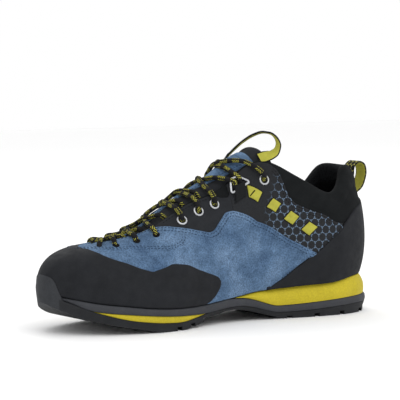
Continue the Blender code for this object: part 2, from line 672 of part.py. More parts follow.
def make_toe_rand(material):
    top, rear = edge_curve(TOE_RAND_TOP), edge_curve(TOE_RAND_REAR)
    start = medial_place(*TOE_RAND_TOP[0])[0]
    rows = half_rows(start, LOOP_ROWS - start)
    return make_overlay("toe_rand", rows, lambda row: max(rear(row), FOOT_V), top, 6, material)


def make_heel_rand(material):
    side_top = edge_curve(HEEL_RAND_TOP)
    heel_vs = np.linspace(0, 1, 101)
    back_v = np.interp(HEEL_RAND_BACK_Z, upper_point(0.0, heel_vs)[:, 2], heel_vs)
    side_row = medial_place(*HEEL_RAND_TOP[-1])[0]
    front = medial_place(*HEEL_RAND_TOP[0])[0]

    def top(row):
        side_v = side_top(row)
        at_back = 1 - smooth_step(0.0, side_row, min(row % LOOP_ROWS, -row % LOOP_ROWS))
        return max(side_v + (back_v - side_v) * at_back, 0.03)

    return make_overlay("heel_rand", half_rows(-front, front), lambda row: FOOT_V, top, 4, material)


def make_side_panels(side, label, materials):
    """The eyestay and the ankle flap of one side."""
    border = edge_curve(SUEDE_BORDER + HEEL_RAND_TOP[3:])
    collar = edge_curve(COLLAR_BORDER)
    collar_row = medial_place(*COLLAR_BORDER[0])[0]
    flap_rear = medial_place(*FLAP_REAR)[0]

    def eyestay_low(row):
        return min(border(row), EDGE_V - 0.01)

    def flap_low(row):
        return border(row) + PANEL_GAP_V

    def flap_high(row):
        high = EDGE_V if min(row, LOOP_ROWS - row) > collar_row else collar(row)
        return max(high, flap_low(row) + 0.01)

    eyestay_rows = on_side(side, half_rows(FLAP_FRONT_ROW + 0.06, EYESTAY_FRONT_ROW))
    make_overlay("eyestay_" + label, eyestay_rows, eyestay_low, lambda row: EDGE_V, 3, materials["softshell"])
    flap_rows = on_side(side, half_rows(flap_rear, FLAP_FRONT_ROW))
    make_overlay("flap_" + label, flap_rows, flap_low, flap_high, 4, materials["softshell"])


def throat_edges(row):
    return upper_point(row, 1.0), upper_point(LOOP_ROWS - row, 1.0)


def bridge_point(row, across, lift):
    """A point over the throat: across runs from the medial edge (-1) to the lateral edge (1)."""
    medial, lateral = throat_edges(row)
    middle = medial + (lateral - medial) * (across + 1) / 2
    return middle + np.array(LIFT_AXIS) * lift * (1 - across * across)


def grid_normals(grid):
    """Directions square to a grid of points, from its rows and columns."""
    along = np.gradient(grid, axis=0)
    across = np.gradient(grid, axis=1)
    normal = np.cross(across, along)
    return normal / np.linalg.norm(normal, axis=-1, keepdims=True)


def tongue_section(row):
    """The tongue's upper face under the throat at one row, from wing to wing."""
    points = []
    wing_row = min(row, TONGUE_TURN_ROW + (row - TONGUE_TURN_ROW) * TONGUE_TURN)
    for at_wing, at_edge in ((wing_row, row), (LOOP_ROWS - wing_row, LOOP_ROWS - row)):
        for around, v in ((at_wing, TONGUE_WING_V), (at_edge, 0.99)):
            depth = wall_thickness(around, v) + TONGUE_CLEAR
            points.append(upper_layer(around, v, -depth))
    wing_near, edge_near, wing_far, edge_far = points
    crown = bridge_point(row, 0.0, crown_lift(row))
    near = (edge_near + crown) / 2 + np.array(LIFT_AXIS) * 0.25 * max(crown_lift(row), 0.0)
    far = (edge_far + crown) / 2 + np.array(LIFT_AXIS) * 0.25 * max(crown_lift(row), 0.0)
    return [wing_near, edge_near, near, crown, far, edge_far, wing_far]


def tongue_top_section(entry):
    """The tongue's free end above the throat."""
    s, edge_s, medial, lateral, wing_z, edge_z, crown_z = entry[1:8]
    middle = (medial + lateral) / 2
    shoulder_s = edge_s + SHOULDER_RISE * (s - edge_s)
    shoulder_z = edge_z + SHOULDER_RISE * (crown_z - edge_z)
    shoulders = [middle + (edge - middle) * SHOULDER_SPREAD for edge in (medial, lateral)]
    wing_s = edge_s - WING_SPREAD
    return [
        (wing_s, medial - WING_SPREAD, wing_z), (edge_s, medial, edge_z),
        (shoulder_s, shoulders[0], shoulder_z), (s, middle, crown_z),
        (shoulder_s, shoulders[1], shoulder_z), (edge_s, lateral, edge_z),
        (wing_s, lateral + WING_SPREAD, wing_z),
    ]


def make_tongue(material):
    rows = np.concatenate([np.arange(8.6, 12.0, 0.8), np.arange(12.5, 17.1, 1.1)])
    front = [upper_layer(row, TONGUE_FRONT_V, -WALL - TONGUE_FRONT_CLEAR) for row in TONGUE_FRONT_ROWS]
    face = [tongue_top_section(entry) for entry in TONGUE_TOP]
    face += [tongue_section(row) for row in rows]
    face.append(front)
    face = np.array(face, float)
    thick = np.array([entry[-1] for entry in TONGUE_TOP] + [TONGUE_THICK] * (len(face) - len(TONGUE_TOP)))
    inner = face + grid_normals(face) * thick[:, None, None]
    profiles = np.concatenate([face, inner[:, ::-1]], 1)
    return add_solid("tongue", swept_polygons(profiles), material)


def smooth_route(points, count):
    """Evenly spaced points on a smooth curve through the given ones."""
    points = np.array(points, float)
    steps = np.concatenate([[0], np.cumsum(np.linalg.norm(np.diff(points, axis=0), axis=1))])
    columns = ("at", "s", "y", "z")
    rows = [(at, *point) for at, point in zip(steps, points)]
    where = np.linspace(0, steps[-1], count)
    return np.stack([table_spline(rows, columns, name)(where) for name in columns[1:]], -1)


def tube_profiles(route, radius, sides, up):
    """Round sections along a route."""
    tangents = np.gradient(route, axis=0)
    tangents /= np.linalg.norm(tangents, axis=1, keepdims=True)
    beside = np.cross(tangents, up)
    beside /= np.linalg.norm(beside, axis=1, keepdims=True)
    above = np.cross(beside, tangents)
    angles = [2 * math.pi * (k + 0.5) / sides for k in range(sides)]
    rings = [beside * math.cos(a) * radius + above * math.sin(a) * radius for a in angles]
    return np.stack([route + ring for ring in rings], 1)


def strand_route(side, station):
    """A lace from beside one throat edge, over the tongue, to just short of the next hole across."""
    start, _ = medial_place(*STATIONS[station][1:])
    end, end_v = medial_place(*STATIONS[station + 1][1:])
    over_edge = OVERLAY_OFF + OVERLAY_THICK + GAP + LACE_RADIUS
    over_tongue = LACE_RADIUS + LACE_LIFT
    lift = np.array(LIFT_AXIS)
    route = []
    for across in STRAND_BENDS[1 if station == 0 else 0:]:
        share = np.interp(across, (-1, 0, 1), (EDGE_SHARE[station], CROSS_SHARE[station], 0))
        row = start + (end - start) * share
        over = over_tongue + (over_edge - over_tongue) * across * across
        route.append(bridge_point(row, across * side, crown_lift(row)) + lift * over)
    around = on_side(-side, start + (end - start) * EDGE_SHARE[station])
    away = lift + upper_normal(around, 1.0)
    route.append(upper_point(around, 1.0) + away / np.linalg.norm(away) * (over_edge + 0.6))
    hole = upper_layer(on_side(-side, end), end_v, over_edge + 0.3)
    left = route[-1] - hole
    distance = np.linalg.norm(left)
    stop = LACE_STOP[STATIONS[station + 1][0].split()[0]]
    if distance > stop + 2.0:
        route.append(hole + left / distance * stop)
    return route


def make_lace_crossing(index, material):
    """Two strands that cross over the tongue, joined where they meet."""
    strands = []
    for side in (1, -1):
        route = smooth_route(strand_route(side, index), LACE_SECTIONS)
        profiles = tube_profiles(route, LACE_RADIUS, LACE_SIDES, LIFT_AXIS)
        strands.append(add_solid("lace_cross_%d" % (index + 1), swept_polygons(profiles), material))
    first, second = strands
    union = first.modifiers.new("join strands", "BOOLEAN")
    union.operation = "UNION"
    union.object = second
    second.name = "lace_cross_%d_other" % (index + 1)
    second.hide_render = True
    second.display_type = "WIRE"
    return first


def make_lace_bar(material):
    """The lace's first length, straight across the throat's front."""
    off = GAP + LACE_RADIUS + 0.3
    middle = bridge_point(BAR_ROW, 0.0, 0.0) + np.array(LIFT_AXIS) * off
    ends = [upper_layer(row, 0.97, off) for row in (BAR_ROW, LOOP_ROWS - BAR_ROW)]
    profiles = tube_profiles(smooth_route([ends[0], middle, ends[1]], 5), LACE_RADIUS, LACE_SIDES, LIFT_AXIS)
    return add_solid("lace_bar", swept_polygons(profiles), material)


def local_frame(side, s, z, off):
    """A place off the upper's side, with its directions forward, up and out."""
    row, v = medial_place(s, z)
    row = on_side(side, row)
    out = upper_normal(row, v)
    place = upper_layer(row, v, off)
    up = np.array((0.0, 0.0, 1.0)) - out * out[2]
    up /= np.linalg.norm(up)
    forward = np.cross(out, up)
    return place, forward * np.sign(forward[0]), up, out


def make_wire_loop(name, side, s, z, outline, wire, off, sides, material):
    """A closed wire laid on the upper's side, its outline given as forward and up."""
    place, forward, up, out = local_frame(side, s, z, off)
    route = np.array([place + forward * a + up * b for a, b in outline])
    before = np.roll(route, 1, axis=0)
    after = np.roll(route, -1, axis=0)
    tangents = after - before
    tangents /= np.linalg.norm(tangents, axis=1, keepdims=True)
    beside = np.cross(tangents, out)
    angles = [2 * math.pi * k / sides for k in range(sides)]
    rings = [beside * math.cos(a) * wire + out * math.sin(a) * wire for a in angles]
    return add_solid(name, swept_polygons(np.stack([route + ring for ring in rings], 1), wrap=True), material)


def circle(radius, count):
    angles = [2 * math.pi * k / count for k in range(count)]
    return [(radius * math.cos(a), radius * math.sin(a)) for a in angles]


def make_hardware(side, label, material):
    off = OVERLAY_OFF + OVERLAY_THICK + 0.4 + EYELET_WIRE
    for station, mark in EYELET_STATIONS:
        _, s, z = STATIONS[station]
        make_wire_loop("eyelet_%s_%s" % (mark, label), side, s, z, circle(EYELET_RADIUS, 10), EYELET_WIRE,
                       off, 5, material)
    _, s, z = STATIONS[RING_STATION]
    make_wire_loop("lace_ring_" + label, side, s, z, RING_OUTLINE, RING_WIRE, off + 0.3, 5, material)


def make_straps(side, label, material):
    """The short lengths of strap that show between the flap's slits."""
    low = OVERLAY_OFF + OVERLAY_THICK + 0.4
    for number, (s, z) in enumerate(STRAP_CENTRES):
        place, forward, up, out = local_frame(side, s, z, low)
        long = forward - up * STRAP_SLOPE
        long /= np.linalg.norm(long)
        wide = np.cross(out, long)
        profiles = []
        for a in (-STRAP_HALF, STRAP_HALF):
            ends = [place + long * a + wide * b for b in (-STRAP_HALF, STRAP_HALF)]
            profiles.append([ends[0], ends[1], ends[1] + out * STRAP_THICK, ends[0] + out * STRAP_THICK])
        name = "strap_%d_%s" % (number + 1, label)
        add_solid(name, swept_polygons(np.array(profiles)), material)


def heel_loop_rows():
    """The heel loop's bends, with both ends seated on the heel."""
    vs = np.linspace(0, 1, FINE_STEPS)
    heights = upper_point(0.0, vs)[:, 2]
    ends = [upper_layer(0.0, np.interp(z, heights, vs), WEBBING / 2 + GAP) for z in HEEL_LOOP_SEATS_Z]
    upper_end, lower_end = [(*end, 0.0, 1.0, 0.0) for end in ends]
    return (upper_end,) + HEEL_LOOP + (lower_end,)


def make_webbing_loop(name, bends, width, sections, material):
    """A flat band that follows a row of bends."""
    bends = np.array(bends, float)
    route = smooth_route(bends[:, :3], sections)
    steps = np.concatenate([[0], np.cumsum(np.linalg.norm(np.diff(bends[:, :3], axis=0), axis=1))])
    stops = np.linspace(0, steps[-1], sections)
    across = np.stack([np.interp(stops, steps, bends[:, column]) for column in (3, 4, 5)], 1)
    tangents = np.gradient(route, axis=0)
    tangents /= np.linalg.norm(tangents, axis=1, keepdims=True)
    wide = across - tangents * np.sum(tangents * across, axis=1, keepdims=True)
    wide /= np.linalg.norm(wide, axis=1, keepdims=True)
    out = np.cross(tangents, wide)
    corners = [wide * a * width / 2 + out * b * WEBBING / 2 for a, b in ((-1, -1), (1, -1), (1, 1), (-1, 1))]
    return add_solid(name, swept_polygons(np.stack([route + corner for corner in corners], 1)), material)


def sole_surface(name, lower=0.0):
    return lambda s: sole_height[name](s) - lower


def main():
    remove_everything()
    materials = make_materials()
    make_outsole(materials["rubber"])
    make_sole_layer("midsole_forefoot", (INSERT_FROM_S, INSERT_TO_S), sole_surface("frame_bottom", GAP),
                    sole_surface("insert_bottom"), INSERT_SIDE, materials["foam yellow"])
    make_sole_layer("sole_frame", (0.0, FRAME_TO_S), sole_surface("wedge_bottom", GAP),
                    sole_surface("frame_bottom"), FRAME_SIDE, materials["frame grey"], TOE_TUCK)
    make_sole_layer("midsole_heel", (0.0, WEDGE_FRONT_S), sole_surface("foot", GAP),
                    sole_surface("wedge_bottom"), WEDGE_SIDE, materials["foam yellow"])
    make_insole(materials["footbed"])
    make_upper(materials["suede"])
    make_tongue(materials["softshell"])
    make_toe_rand(materials["rubber"])
    make_heel_rand(materials["rubber"])
    for side, label in ((-1, "medial"), (1, "lateral")):
        make_side_panels(side, label, materials)
        make_hardware(side, label, materials["eyelet metal"])
        make_straps(side, label, materials["webbing"])
    make_lace_bar(materials["lace"])
    for index in range(len(STATIONS) - 1):
        make_lace_crossing(index, materials["lace"])
    make_webbing_loop("tongue_loop", TONGUE_LOOP, TONGUE_LOOP_WIDTH, 22, materials["webbing"])
    make_webbing_loop("heel_loop", heel_loop_rows(), HEEL_LOOP_WIDTH, 18, materials["webbing"])


main()
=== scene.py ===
"""The looks of a right approach shoe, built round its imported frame.

Shoe coordinates are in millimetres, as in the part's source: s runs from the heel (0) to the toe, y across
(medial negative) and z up from the ground. The toe points to -X, so the medial side faces -Y.
"""

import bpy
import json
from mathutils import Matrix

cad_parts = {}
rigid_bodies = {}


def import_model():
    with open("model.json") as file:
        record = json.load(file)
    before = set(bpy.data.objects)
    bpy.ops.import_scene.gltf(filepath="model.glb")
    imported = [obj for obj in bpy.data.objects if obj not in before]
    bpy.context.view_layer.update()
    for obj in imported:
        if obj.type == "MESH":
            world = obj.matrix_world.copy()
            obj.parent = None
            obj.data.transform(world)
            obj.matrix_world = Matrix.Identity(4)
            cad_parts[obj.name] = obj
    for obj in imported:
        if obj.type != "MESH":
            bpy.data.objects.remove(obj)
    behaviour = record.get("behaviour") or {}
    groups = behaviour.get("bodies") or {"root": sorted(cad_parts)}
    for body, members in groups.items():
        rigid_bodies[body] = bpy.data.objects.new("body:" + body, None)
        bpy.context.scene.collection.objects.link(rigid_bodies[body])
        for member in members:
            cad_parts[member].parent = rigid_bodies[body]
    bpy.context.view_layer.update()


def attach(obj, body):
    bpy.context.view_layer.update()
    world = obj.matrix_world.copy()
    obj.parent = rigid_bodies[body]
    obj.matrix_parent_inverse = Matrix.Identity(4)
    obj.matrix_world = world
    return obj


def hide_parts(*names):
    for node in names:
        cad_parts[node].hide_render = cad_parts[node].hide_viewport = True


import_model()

import json
import math

import bmesh
import bpy
import mathutils
import numpy as np

MM = 0.001
GAP = 0.3

# The middle of the finished shoe, which is the origin in plan.
MIDDLE_S = 149.0
MIDDLE_Y = 0.6

# The sole's outline in plan, and how far the upper's foot is set in from it.
OUTLINE_COLUMNS = ("name", "s", "medial", "lateral", "foot_inset")
OUTLINE = (
    ("heel", 0.0, 0.0, 0.0, 7.6),
    ("heel corner", 6.0, -17.5, 17.5, 6.4),
    ("tab side", 21.0, -29.5, 29.5, 4.2),
    ("tab drop", 38.0, -34.5, 34.5, 2.8),
    ("ankle dip", 55.0, -35.0, 36.0, 2.3),
    ("collar middle", 74.0, -33.5, 37.0, 2.0),
    ("collar front", 92.0, -31.0, 38.0, 2.0),
    ("flap corner", 108.0, -30.0, 39.5, 2.0),
    ("flap top", 123.0, -29.5, 41.0, 2.0),
    ("flap front", 139.0, -31.0, 43.0, 2.0),
    ("notch", 156.0, -34.5, 46.0, 2.0),
    ("middle eyelet", 175.0, -40.0, 49.0, 2.0),
    ("first eyelet", 196.0, -47.0, 51.5, 2.2),
    ("ball", 218.0, -50.5, 51.0, 2.4),
    ("throat end", 241.0, -49.5, 45.5, 2.6),
    ("throat nose", 264.0, -43.0, 35.5, 2.8),
    ("toe side", 284.0, -31.0, 21.0, 3.0),
    ("toe corner", 296.0, -18.0, 4.5, 3.2),
    ("toe", 300.0, -7.5, -7.5, 3.2),
)

# Ribs of the last, one at each outline row: the end on the collar or throat edge, and the curve's handles.
RIB_COLUMNS = ("top_s", "top_y", "top_z", "low_out", "low_up", "high_out", "high_down")
MEDIAL_RIBS = (
    (16.0, 0.0, 115.0, 10.8, 22.0, 13.4, 23.0),
    (19.5, -12.0, 115.5, 9.6, 22.0, 11.8, 23.0),
    (29.5, -21.0, 114.0, 6.5, 23.0, 10.5, 24.0),
    (38.0, -27.0, 103.0, 5.5, 23.0, 8.5, 24.0),
    (50.0, -30.5, 95.0, 4.5, 23.0, 7.0, 24.0),
    (67.0, -30.5, 101.5, 4.0, 25.0, 6.0, 26.0),
    (85.0, -27.5, 111.5, 4.0, 27.0, 7.0, 30.0),
    (102.0, -21.5, 121.0, 5.0, 30.0, 10.0, 32.0),
    (117.0, -17.0, 121.5, 6.0, 30.0, 14.0, 32.0),
    (132.0, -17.0, 113.0, 6.0, 28.0, 15.0, 30.0),
    (150.0, -19.0, 101.0, 6.0, 27.0, 15.0, 26.0),
    (172.0, -19.5, 94.5, 5.0, 26.0, 15.0, 22.0),
    (193.0, -18.0, 84.0, 3.0, 25.0, 18.0, 15.0),
    (212.0, -15.0, 73.0, 2.0, 24.0, 20.0, 8.0),
    (230.0, -11.0, 67.5, 2.0, 23.0, 20.0, 4.0),
    (241.5, -7.0, 65.0, 3.0, 23.0, 24.0, 2.0),
    (246.5, -4.0, 64.0, 3.0, 23.0, 26.5, 0.6),
    (248.5, -2.0, 63.2, 4.0, 22.6, 28.5, 0.8),
    (249.0, 0.0, 62.8, 4.0, 22.4, 29.5, 0.8),
)
LATERAL_RIBS = (
    (16.0, 0.0, 115.0, 10.8, 22.0, 13.4, 23.0),
    (18.5, 12.0, 115.5, 9.6, 22.0, 11.8, 23.0),
    (26.0, 21.0, 113.0, 6.5, 23.0, 10.5, 24.0),
    (34.0, 27.0, 101.0, 5.5, 23.0, 8.5, 24.0),
    (47.0, 31.0, 92.0, 4.5, 23.0, 7.0, 24.0),
    (65.0, 31.5, 98.0, 4.0, 25.0, 6.0, 26.0),
    (84.0, 28.5, 109.0, 4.0, 27.0, 8.0, 30.0),
    (101.0, 22.5, 118.0, 4.0, 28.0, 12.0, 32.0),
    (116.0, 18.5, 118.5, 4.0, 27.0, 17.0, 30.0),
    (131.0, 18.5, 110.0, 4.0, 26.0, 18.0, 28.0),
    (149.0, 19.0, 98.0, 4.0, 25.0, 18.0, 24.0),
    (171.0, 19.0, 89.5, 3.0, 24.0, 18.0, 20.0),
    (192.0, 17.5, 79.0, 2.0, 23.0, 20.0, 14.0),
    (211.0, 15.0, 69.5, 2.0, 22.0, 20.0, 8.0),
    (229.0, 11.5, 64.5, 2.0, 22.0, 20.0, 4.0),
    (241.0, 8.0, 63.0, 3.0, 22.0, 22.0, 2.0),
    (246.0, 5.0, 62.7, 3.0, 22.4, 24.5, 0.6),
    (248.5, 2.5, 62.5, 4.0, 22.6, 27.5, 0.8),
    (249.0, 0.0, 62.8, 4.0, 22.4, 29.5, 0.8),
)
TOE_ROW = len(OUTLINE) - 1
LOOP_ROWS = 2 * TOE_ROW

# Heights of the sole's layers along its edge.
SOLE_COLUMNS = ("s", "foot", "wedge_bottom", "frame_bottom", "insert_bottom", "tread")
SOLE_HEIGHTS = (
    (0.0, 30.5, 14.8, 8.5, 8.5, 4.6),
    (5.0, 30.4, 14.7, 8.4, 8.4, 2.4),
    (11.0, 30.2, 14.6, 8.3, 8.3, 0.7),
    (25.0, 29.8, 14.2, 8.2, 8.2, 0.3),
    (50.0, 26.2, 12.8, 7.0, 7.0, 0.0),
    (75.0, 25.2, 11.4, 5.7, 5.7, 0.0),
    (92.0, 24.2, 10.8, 5.4, 5.4, 0.0),
    (102.0, 23.7, 11.0, 5.8, 5.8, 1.6),
    (112.0, 23.0, 13.8, 8.2, 8.2, 4.6),
    (122.0, 22.0, 16.8, 10.8, 10.8, 7.2),
    (132.0, 20.6, 18.6, 12.4, 12.4, 9.2),
    (146.0, 18.9, 18.9, 12.4, 12.4, 9.8),
    (160.0, 17.6, 17.6, 11.3, 11.3, 8.0),
    (171.0, 16.9, 16.9, 10.5, 10.4, 5.0),
    (184.0, 16.6, 16.6, 10.6, 8.3, 1.8),
    (198.0, 16.7, 16.7, 11.1, 6.6, 0.0),
    (214.0, 17.4, 17.4, 12.1, 7.0, 0.0),
    (229.0, 18.7, 18.7, 13.4, 8.4, 2.2),
    (246.0, 20.9, 20.9, 15.2, 11.0, 5.2),
    (261.0, 22.8, 22.8, 16.8, 14.8, 8.0),
    (272.0, 24.6, 24.6, 18.6, 18.4, 11.0),
    (287.0, 28.3, 28.3, 25.0, 25.0, 17.3),
    (292.0, 29.5, 29.5, 27.2, 27.2, 19.8),
    (296.0, 30.3, 30.3, 28.6, 28.6, 22.2),
    (300.0, 31.0, 31.0, 29.6, 29.6, 25.4),
)

# The side of each sole layer: how far down its height, and how far in from the outline.
WEDGE_SIDE = ((0.0, 3.6), (0.06, 2.7), (0.22, 1.3), (0.45, 0.1), (0.7, 0.0), (0.93, 0.5), (1.0, 0.9))
FRAME_SIDE = ((0.0, 1.2), (0.08, 0.5), (0.3, -0.1), (0.6, -0.3), (0.92, 0.0), (1.0, 0.5))
INSERT_SIDE = ((0.0, 1.2), (0.2, 0.8), (0.5, 0.7), (0.8, 0.8), (1.0, 1.0))
WEDGE_FRONT_S = 139.0
INSERT_FROM_S = 173.0
INSERT_TO_S = 271.0
FRAME_TO_S = 296.0
TOE_TUCK = 2.4
HEEL_LEAN = 2.4
LEAN_TO_S = 22.0
TUCK_S = (276.0, 290.0)

# The outsole: a slab with lugs below it and a rubber lip up the toe.
SLAB = 3.2
LUG_DEPTH = 3.0
OUTSOLE_EDGE = 0.2
OUTSOLE_FOOT = 1.6
LUG_LINES = (-1.0, -0.64, -0.5, -0.08, 0.08, 0.5, 0.64, 1.0)
HEEL_EDGE_LUG = (1, 0, 1, 1, 1)
FORE_EDGE_LUG = (1, 1, 0)
INNER_LUG = (0, 1, 1)
HEEL_LUGS_S = (8.0, 101.0)
FORE_LUGS_S = (174.0, 262.0)
LUG_ROW = 5.0
LUG_FADE = 6.0
STRIP_PARTS = 3
HEEL_STRIPS_S = (0.0, 0.7, 2.0, 3.4, 5.0, 6.5)
ARCH_STRIPS = 20
TOE_STRIPS_S = (262.0, 265.0, 268.0, 271.0, 274.0, 277.0, 280.0, 283.0, 286.0, 288.5,
                289.6, 290.8, 292.0, 293.2, 294.5, 296.0, 297.4, 298.5, 299.4, 300.0)
EDGE_BAND_FROM_S = 207.0
LIP_RISE = ((290.8, 0.0), (292.6, 4.5), (294.5, 9.0), (296.6, 12.0), (300.0, 13.2))
LIP_INNER = 1.4
LIP_THICKNESS = 1.2
LIP_TO_V = 0.5
LIP_LOW_SHARE = 0.4
LIP_MIDDLE_SHARE = 0.35
LIP_TOP_THICKNESS = 0.8
LIP_OUT = -0.6
BUMPER_FROM_S = 290.8
FINE_STEPS = 201

# The upper's wall, which is padded at the collar.
WALL = 2.0
COLLAR_WALL = 6.5
COLLAR_ROWS = (4.8, 6.8)
COLLAR_FROM_V = 0.70
COLLAR_FULL_V = 0.90
COLLAR_PAD_ROWS = 7.3
PAD_FROM_V = 0.80
PAD_INSIDE_V = 0.5

INSOLE_CLEAR = 1.0
INSOLE_EDGE = 6.0
INSOLE_MIDDLE = 4.5

# Overlays sewn or glued on the upper: their edges, as places on its side given by s and z.
TOE_RAND_TOP = (
    (157.6, 32.5), (158.3, 35.2), (161.2, 37.8), (171.0, 41.0), (181.0, 44.3), (191.0, 48.5), (205.0, 49.8),
    (215.0, 47.0), (223.0, 44.8), (233.0, 47.8), (241.0, 51.3), (252.0, 55.0), (258.5, 58.5), (264.0, 60.5),
)
TOE_RAND_REAR = ((157.6, 31.0), (159.0, 28.0), (163.0, 22.5), (168.0, 18.7), (173.5, 16.9))
HEEL_RAND_TOP = ((110.0, 23.5), (94.0, 33.0), (67.5, 50.5), (53.0, 62.0), (40.0, 72.0), (24.0, 83.0))
HEEL_RAND_BACK_Z = 92.0
HEEL_DOTS = ((103.0, 35.0), (85.0, 46.0), (66.7, 58.0), (55.0, 68.5), (42.0, 80.0))
# How much higher on the upper the toe rand's top runs over the toe, round this row.
RAND_OVER_TOE = 0.20
RAND_PEAK_ROW = 19.3
RAND_PEAK_ROWS = 2.1
SUEDE_BORDER = (
    (208.0, 74.5), (192.0, 75.0), (178.0, 72.8), (166.0, 70.6), (161.0, 72.0), (156.0, 77.0), (148.0, 85.0),
    (141.0, 86.0), (135.0, 84.5), (120.0, 77.0), (99.0, 67.0), (83.5, 59.0), (67.5, 50.8),
)
COLLAR_BORDER = (
    (103.0, 120.5), (97.0, 115.0), (94.0, 107.0), (91.0, 96.0), (85.0, 89.6), (73.0, 84.4), (58.0, 79.6),
    (40.0, 72.6),
)
FACING_SEAM = (
    (185.6, 73.6), (186.2, 70.0), (187.6, 66.3), (190.2, 63.4), (195.0, 61.2), (199.6, 59.6), (206.0, 58.9),
    (211.1, 59.6), (221.5, 60.2), (231.5, 60.2), (242.0, 60.0), (252.5, 60.6),
)
FLAP_REAR = (42.0, 72.0)
FLAP_FRONT_ROW = 9.55
EYESTAY_FRONT_ROW = 12.7
# The eyestay's top edge: rows and v.
EYESTAY_TOP = (
    (9.15, 0.99), (9.40, 0.95), (9.60, 0.89), (9.95, 0.93), (10.25, 0.98), (10.60, 1.0), (13.0, 1.0),
)
FOOT_V = 0.004
TOP_V = 0.992

# Creases of the suede over the ball: s at the sole less the shift, lean towards the heel, height and width.
CREASES = (
    (222.0, 26.0, -0.55, 4.0),
    (212.0, 34.0, 0.4, 5.0),
    (203.0, 42.0, -0.45, 4.5),
    (188.0, 30.0, 0.25, 6.0),
)
CREASE_SHIFT = 18.0

# The tongue's crown over the chord between the throat's two edges, a row for each section.
CROWN_COLUMNS = ("row", "lift")
CROWN = ((8.0, 7.5), (9.0, 8.0), (10.0, 8.0), (11.0, 5.2), (12.0, 2.9),
         (13.0, 1.2), (14.0, 0.0), (15.0, -0.8), (16.0, -1.5), (17.0, -2.0))
LIFT_AXIS = np.array((0.45, 0.0, 0.89))
TONGUE_CLEAR = 1.5
TONGUE_FRONT_CLEAR = 2.6
TONGUE_WING_V = 0.84
TONGUE_THICK = 3.5
SHOULDER_RISE = 0.78
SHOULDER_SPREAD = 0.55
WING_SPREAD = 1.0
# The tongue's free end, a row for each section: a name, s of the middle and of the edges, y of the medial and
# lateral edges, z of the wings, the edges and the crown, and the thickness.
TONGUE_TOP = (
    ("pad top", 103.0, 98.0, -17.0, 18.0, 118.5, 122.5, 132.5, 3.0),
    ("pad rim", 105.0, 100.0, -18.0, 19.0, 117.5, 122.5, 132.5, 6.0),
    ("pad", 110.0, 106.0, -15.5, 16.5, 114.0, 119.0, 130.5, 6.5),
)
TONGUE_TURN_ROW = 13.6
TONGUE_TURN = 0.3
TONGUE_FRONT_ROWS = (14.9, 15.9, 17.0, 18.0, 19.0, 20.1, 21.1)
TONGUE_FRONT_V = 0.80
TONGUE_EDGE = 1.2
TONGUE_PAD_LENGTH = 11.0
# How far the tongue's suede reaches to each side, against the length from the free end.
SUEDE_REACH_AT = (11.0, 30.0, 45.0, 65.0, 95.0, 160.0)
SUEDE_REACH_MEDIAL = (0.90, 0.84, 0.55, 0.25, 0.15, 0.10)
SUEDE_REACH_LATERAL = (0.90, 0.84, 0.80, 0.70, 0.55, 0.45)

# Lace stations from the toe up: the hole's place on each side, s and z.
LACE_RADIUS = 1.9
CROSS_SHARE = (0.36, 0.42, 0.29, 0.21, 0.15, 0.23, 0.0)
EDGE_SHARE = (0.85, 0.75, 0.7, 0.6, 0.55, 0.7, 0.5)
BAR_ROW = 15.6
STATIONS = (
    ("hole 1", 241.0, 63.3),
    ("hole 2", 224.0, 66.0),
    ("hole 3", 208.0, 70.3),
    ("eyelet 1", 187.0, 81.0),
    ("eyelet 2", 172.0, 87.3),
    ("eyelet 3", 157.0, 92.0),
    ("ring", 133.0, 105.0),
    ("top eyelet", 111.0, 109.0),
)
EYELET_STATIONS = ((3, "1"), (4, "2"), (5, "3"), (7, "top"))
RING_STATION = 6
TOP_STATION = 7
EYELET_SHIFT = (-1.4, -0.8)
RING_WIRE = 0.95
RING_OUTLINE = ((-1.2, 6.0), (-5.0, 4.3), (-8.6, 2.6), (-9.4, 1.2), (-8.4, 0.4), (-1.4, -3.4), (4.6, -6.6),
                (5.9, -6.2), (6.1, -5.0), (5.6, 0.5), (5.0, 3.6), (3.6, 4.6))
EYELET_PROFILE = ((2.6, -1.2), (2.6, 0.3), (2.8, 0.7), (3.2, 0.9), (3.7, 0.75), (4.1, 0.4), (4.2, 0.1),
                  (3.9, -0.3), (3.1, -0.5))
OVER_EDGE = 1.35 + LACE_RADIUS
LATERAL_SINK = 0.5
UNDER_WALL = -4.2
BAR_HOLE_V = 0.80
BAR_FAR_HOLE_V = 0.97

# A woven strap shows between slits in the flap, as four short lengths: their corners, by s and z.
STRAP_CORNERS = (
    ((125.0, 104.5), (112.8, 98.8), (117.8, 91.6), (125.0, 95.5)),
    ((104.1, 94.1), (97.8, 89.9), (103.2, 83.5), (110.6, 87.6)),
    ((89.6, 84.2), (82.9, 79.6), (88.9, 73.4), (96.2, 78.1)),
    ((74.0, 75.2), (66.8, 70.8), (74.5, 64.5), (81.3, 69.4)),
)
# A narrow slit, filled with painted shade, and the ring's tab: their corners, by s and z.
SLIT_CORNERS = ((124.3, 96.6), (119.2, 100.9), (118.6, 100.0), (124.3, 95.5))
TAB_CORNERS = ((136.8, 102.2), (127.4, 106.7), (126.9, 96.3), (137.4, 91.0))

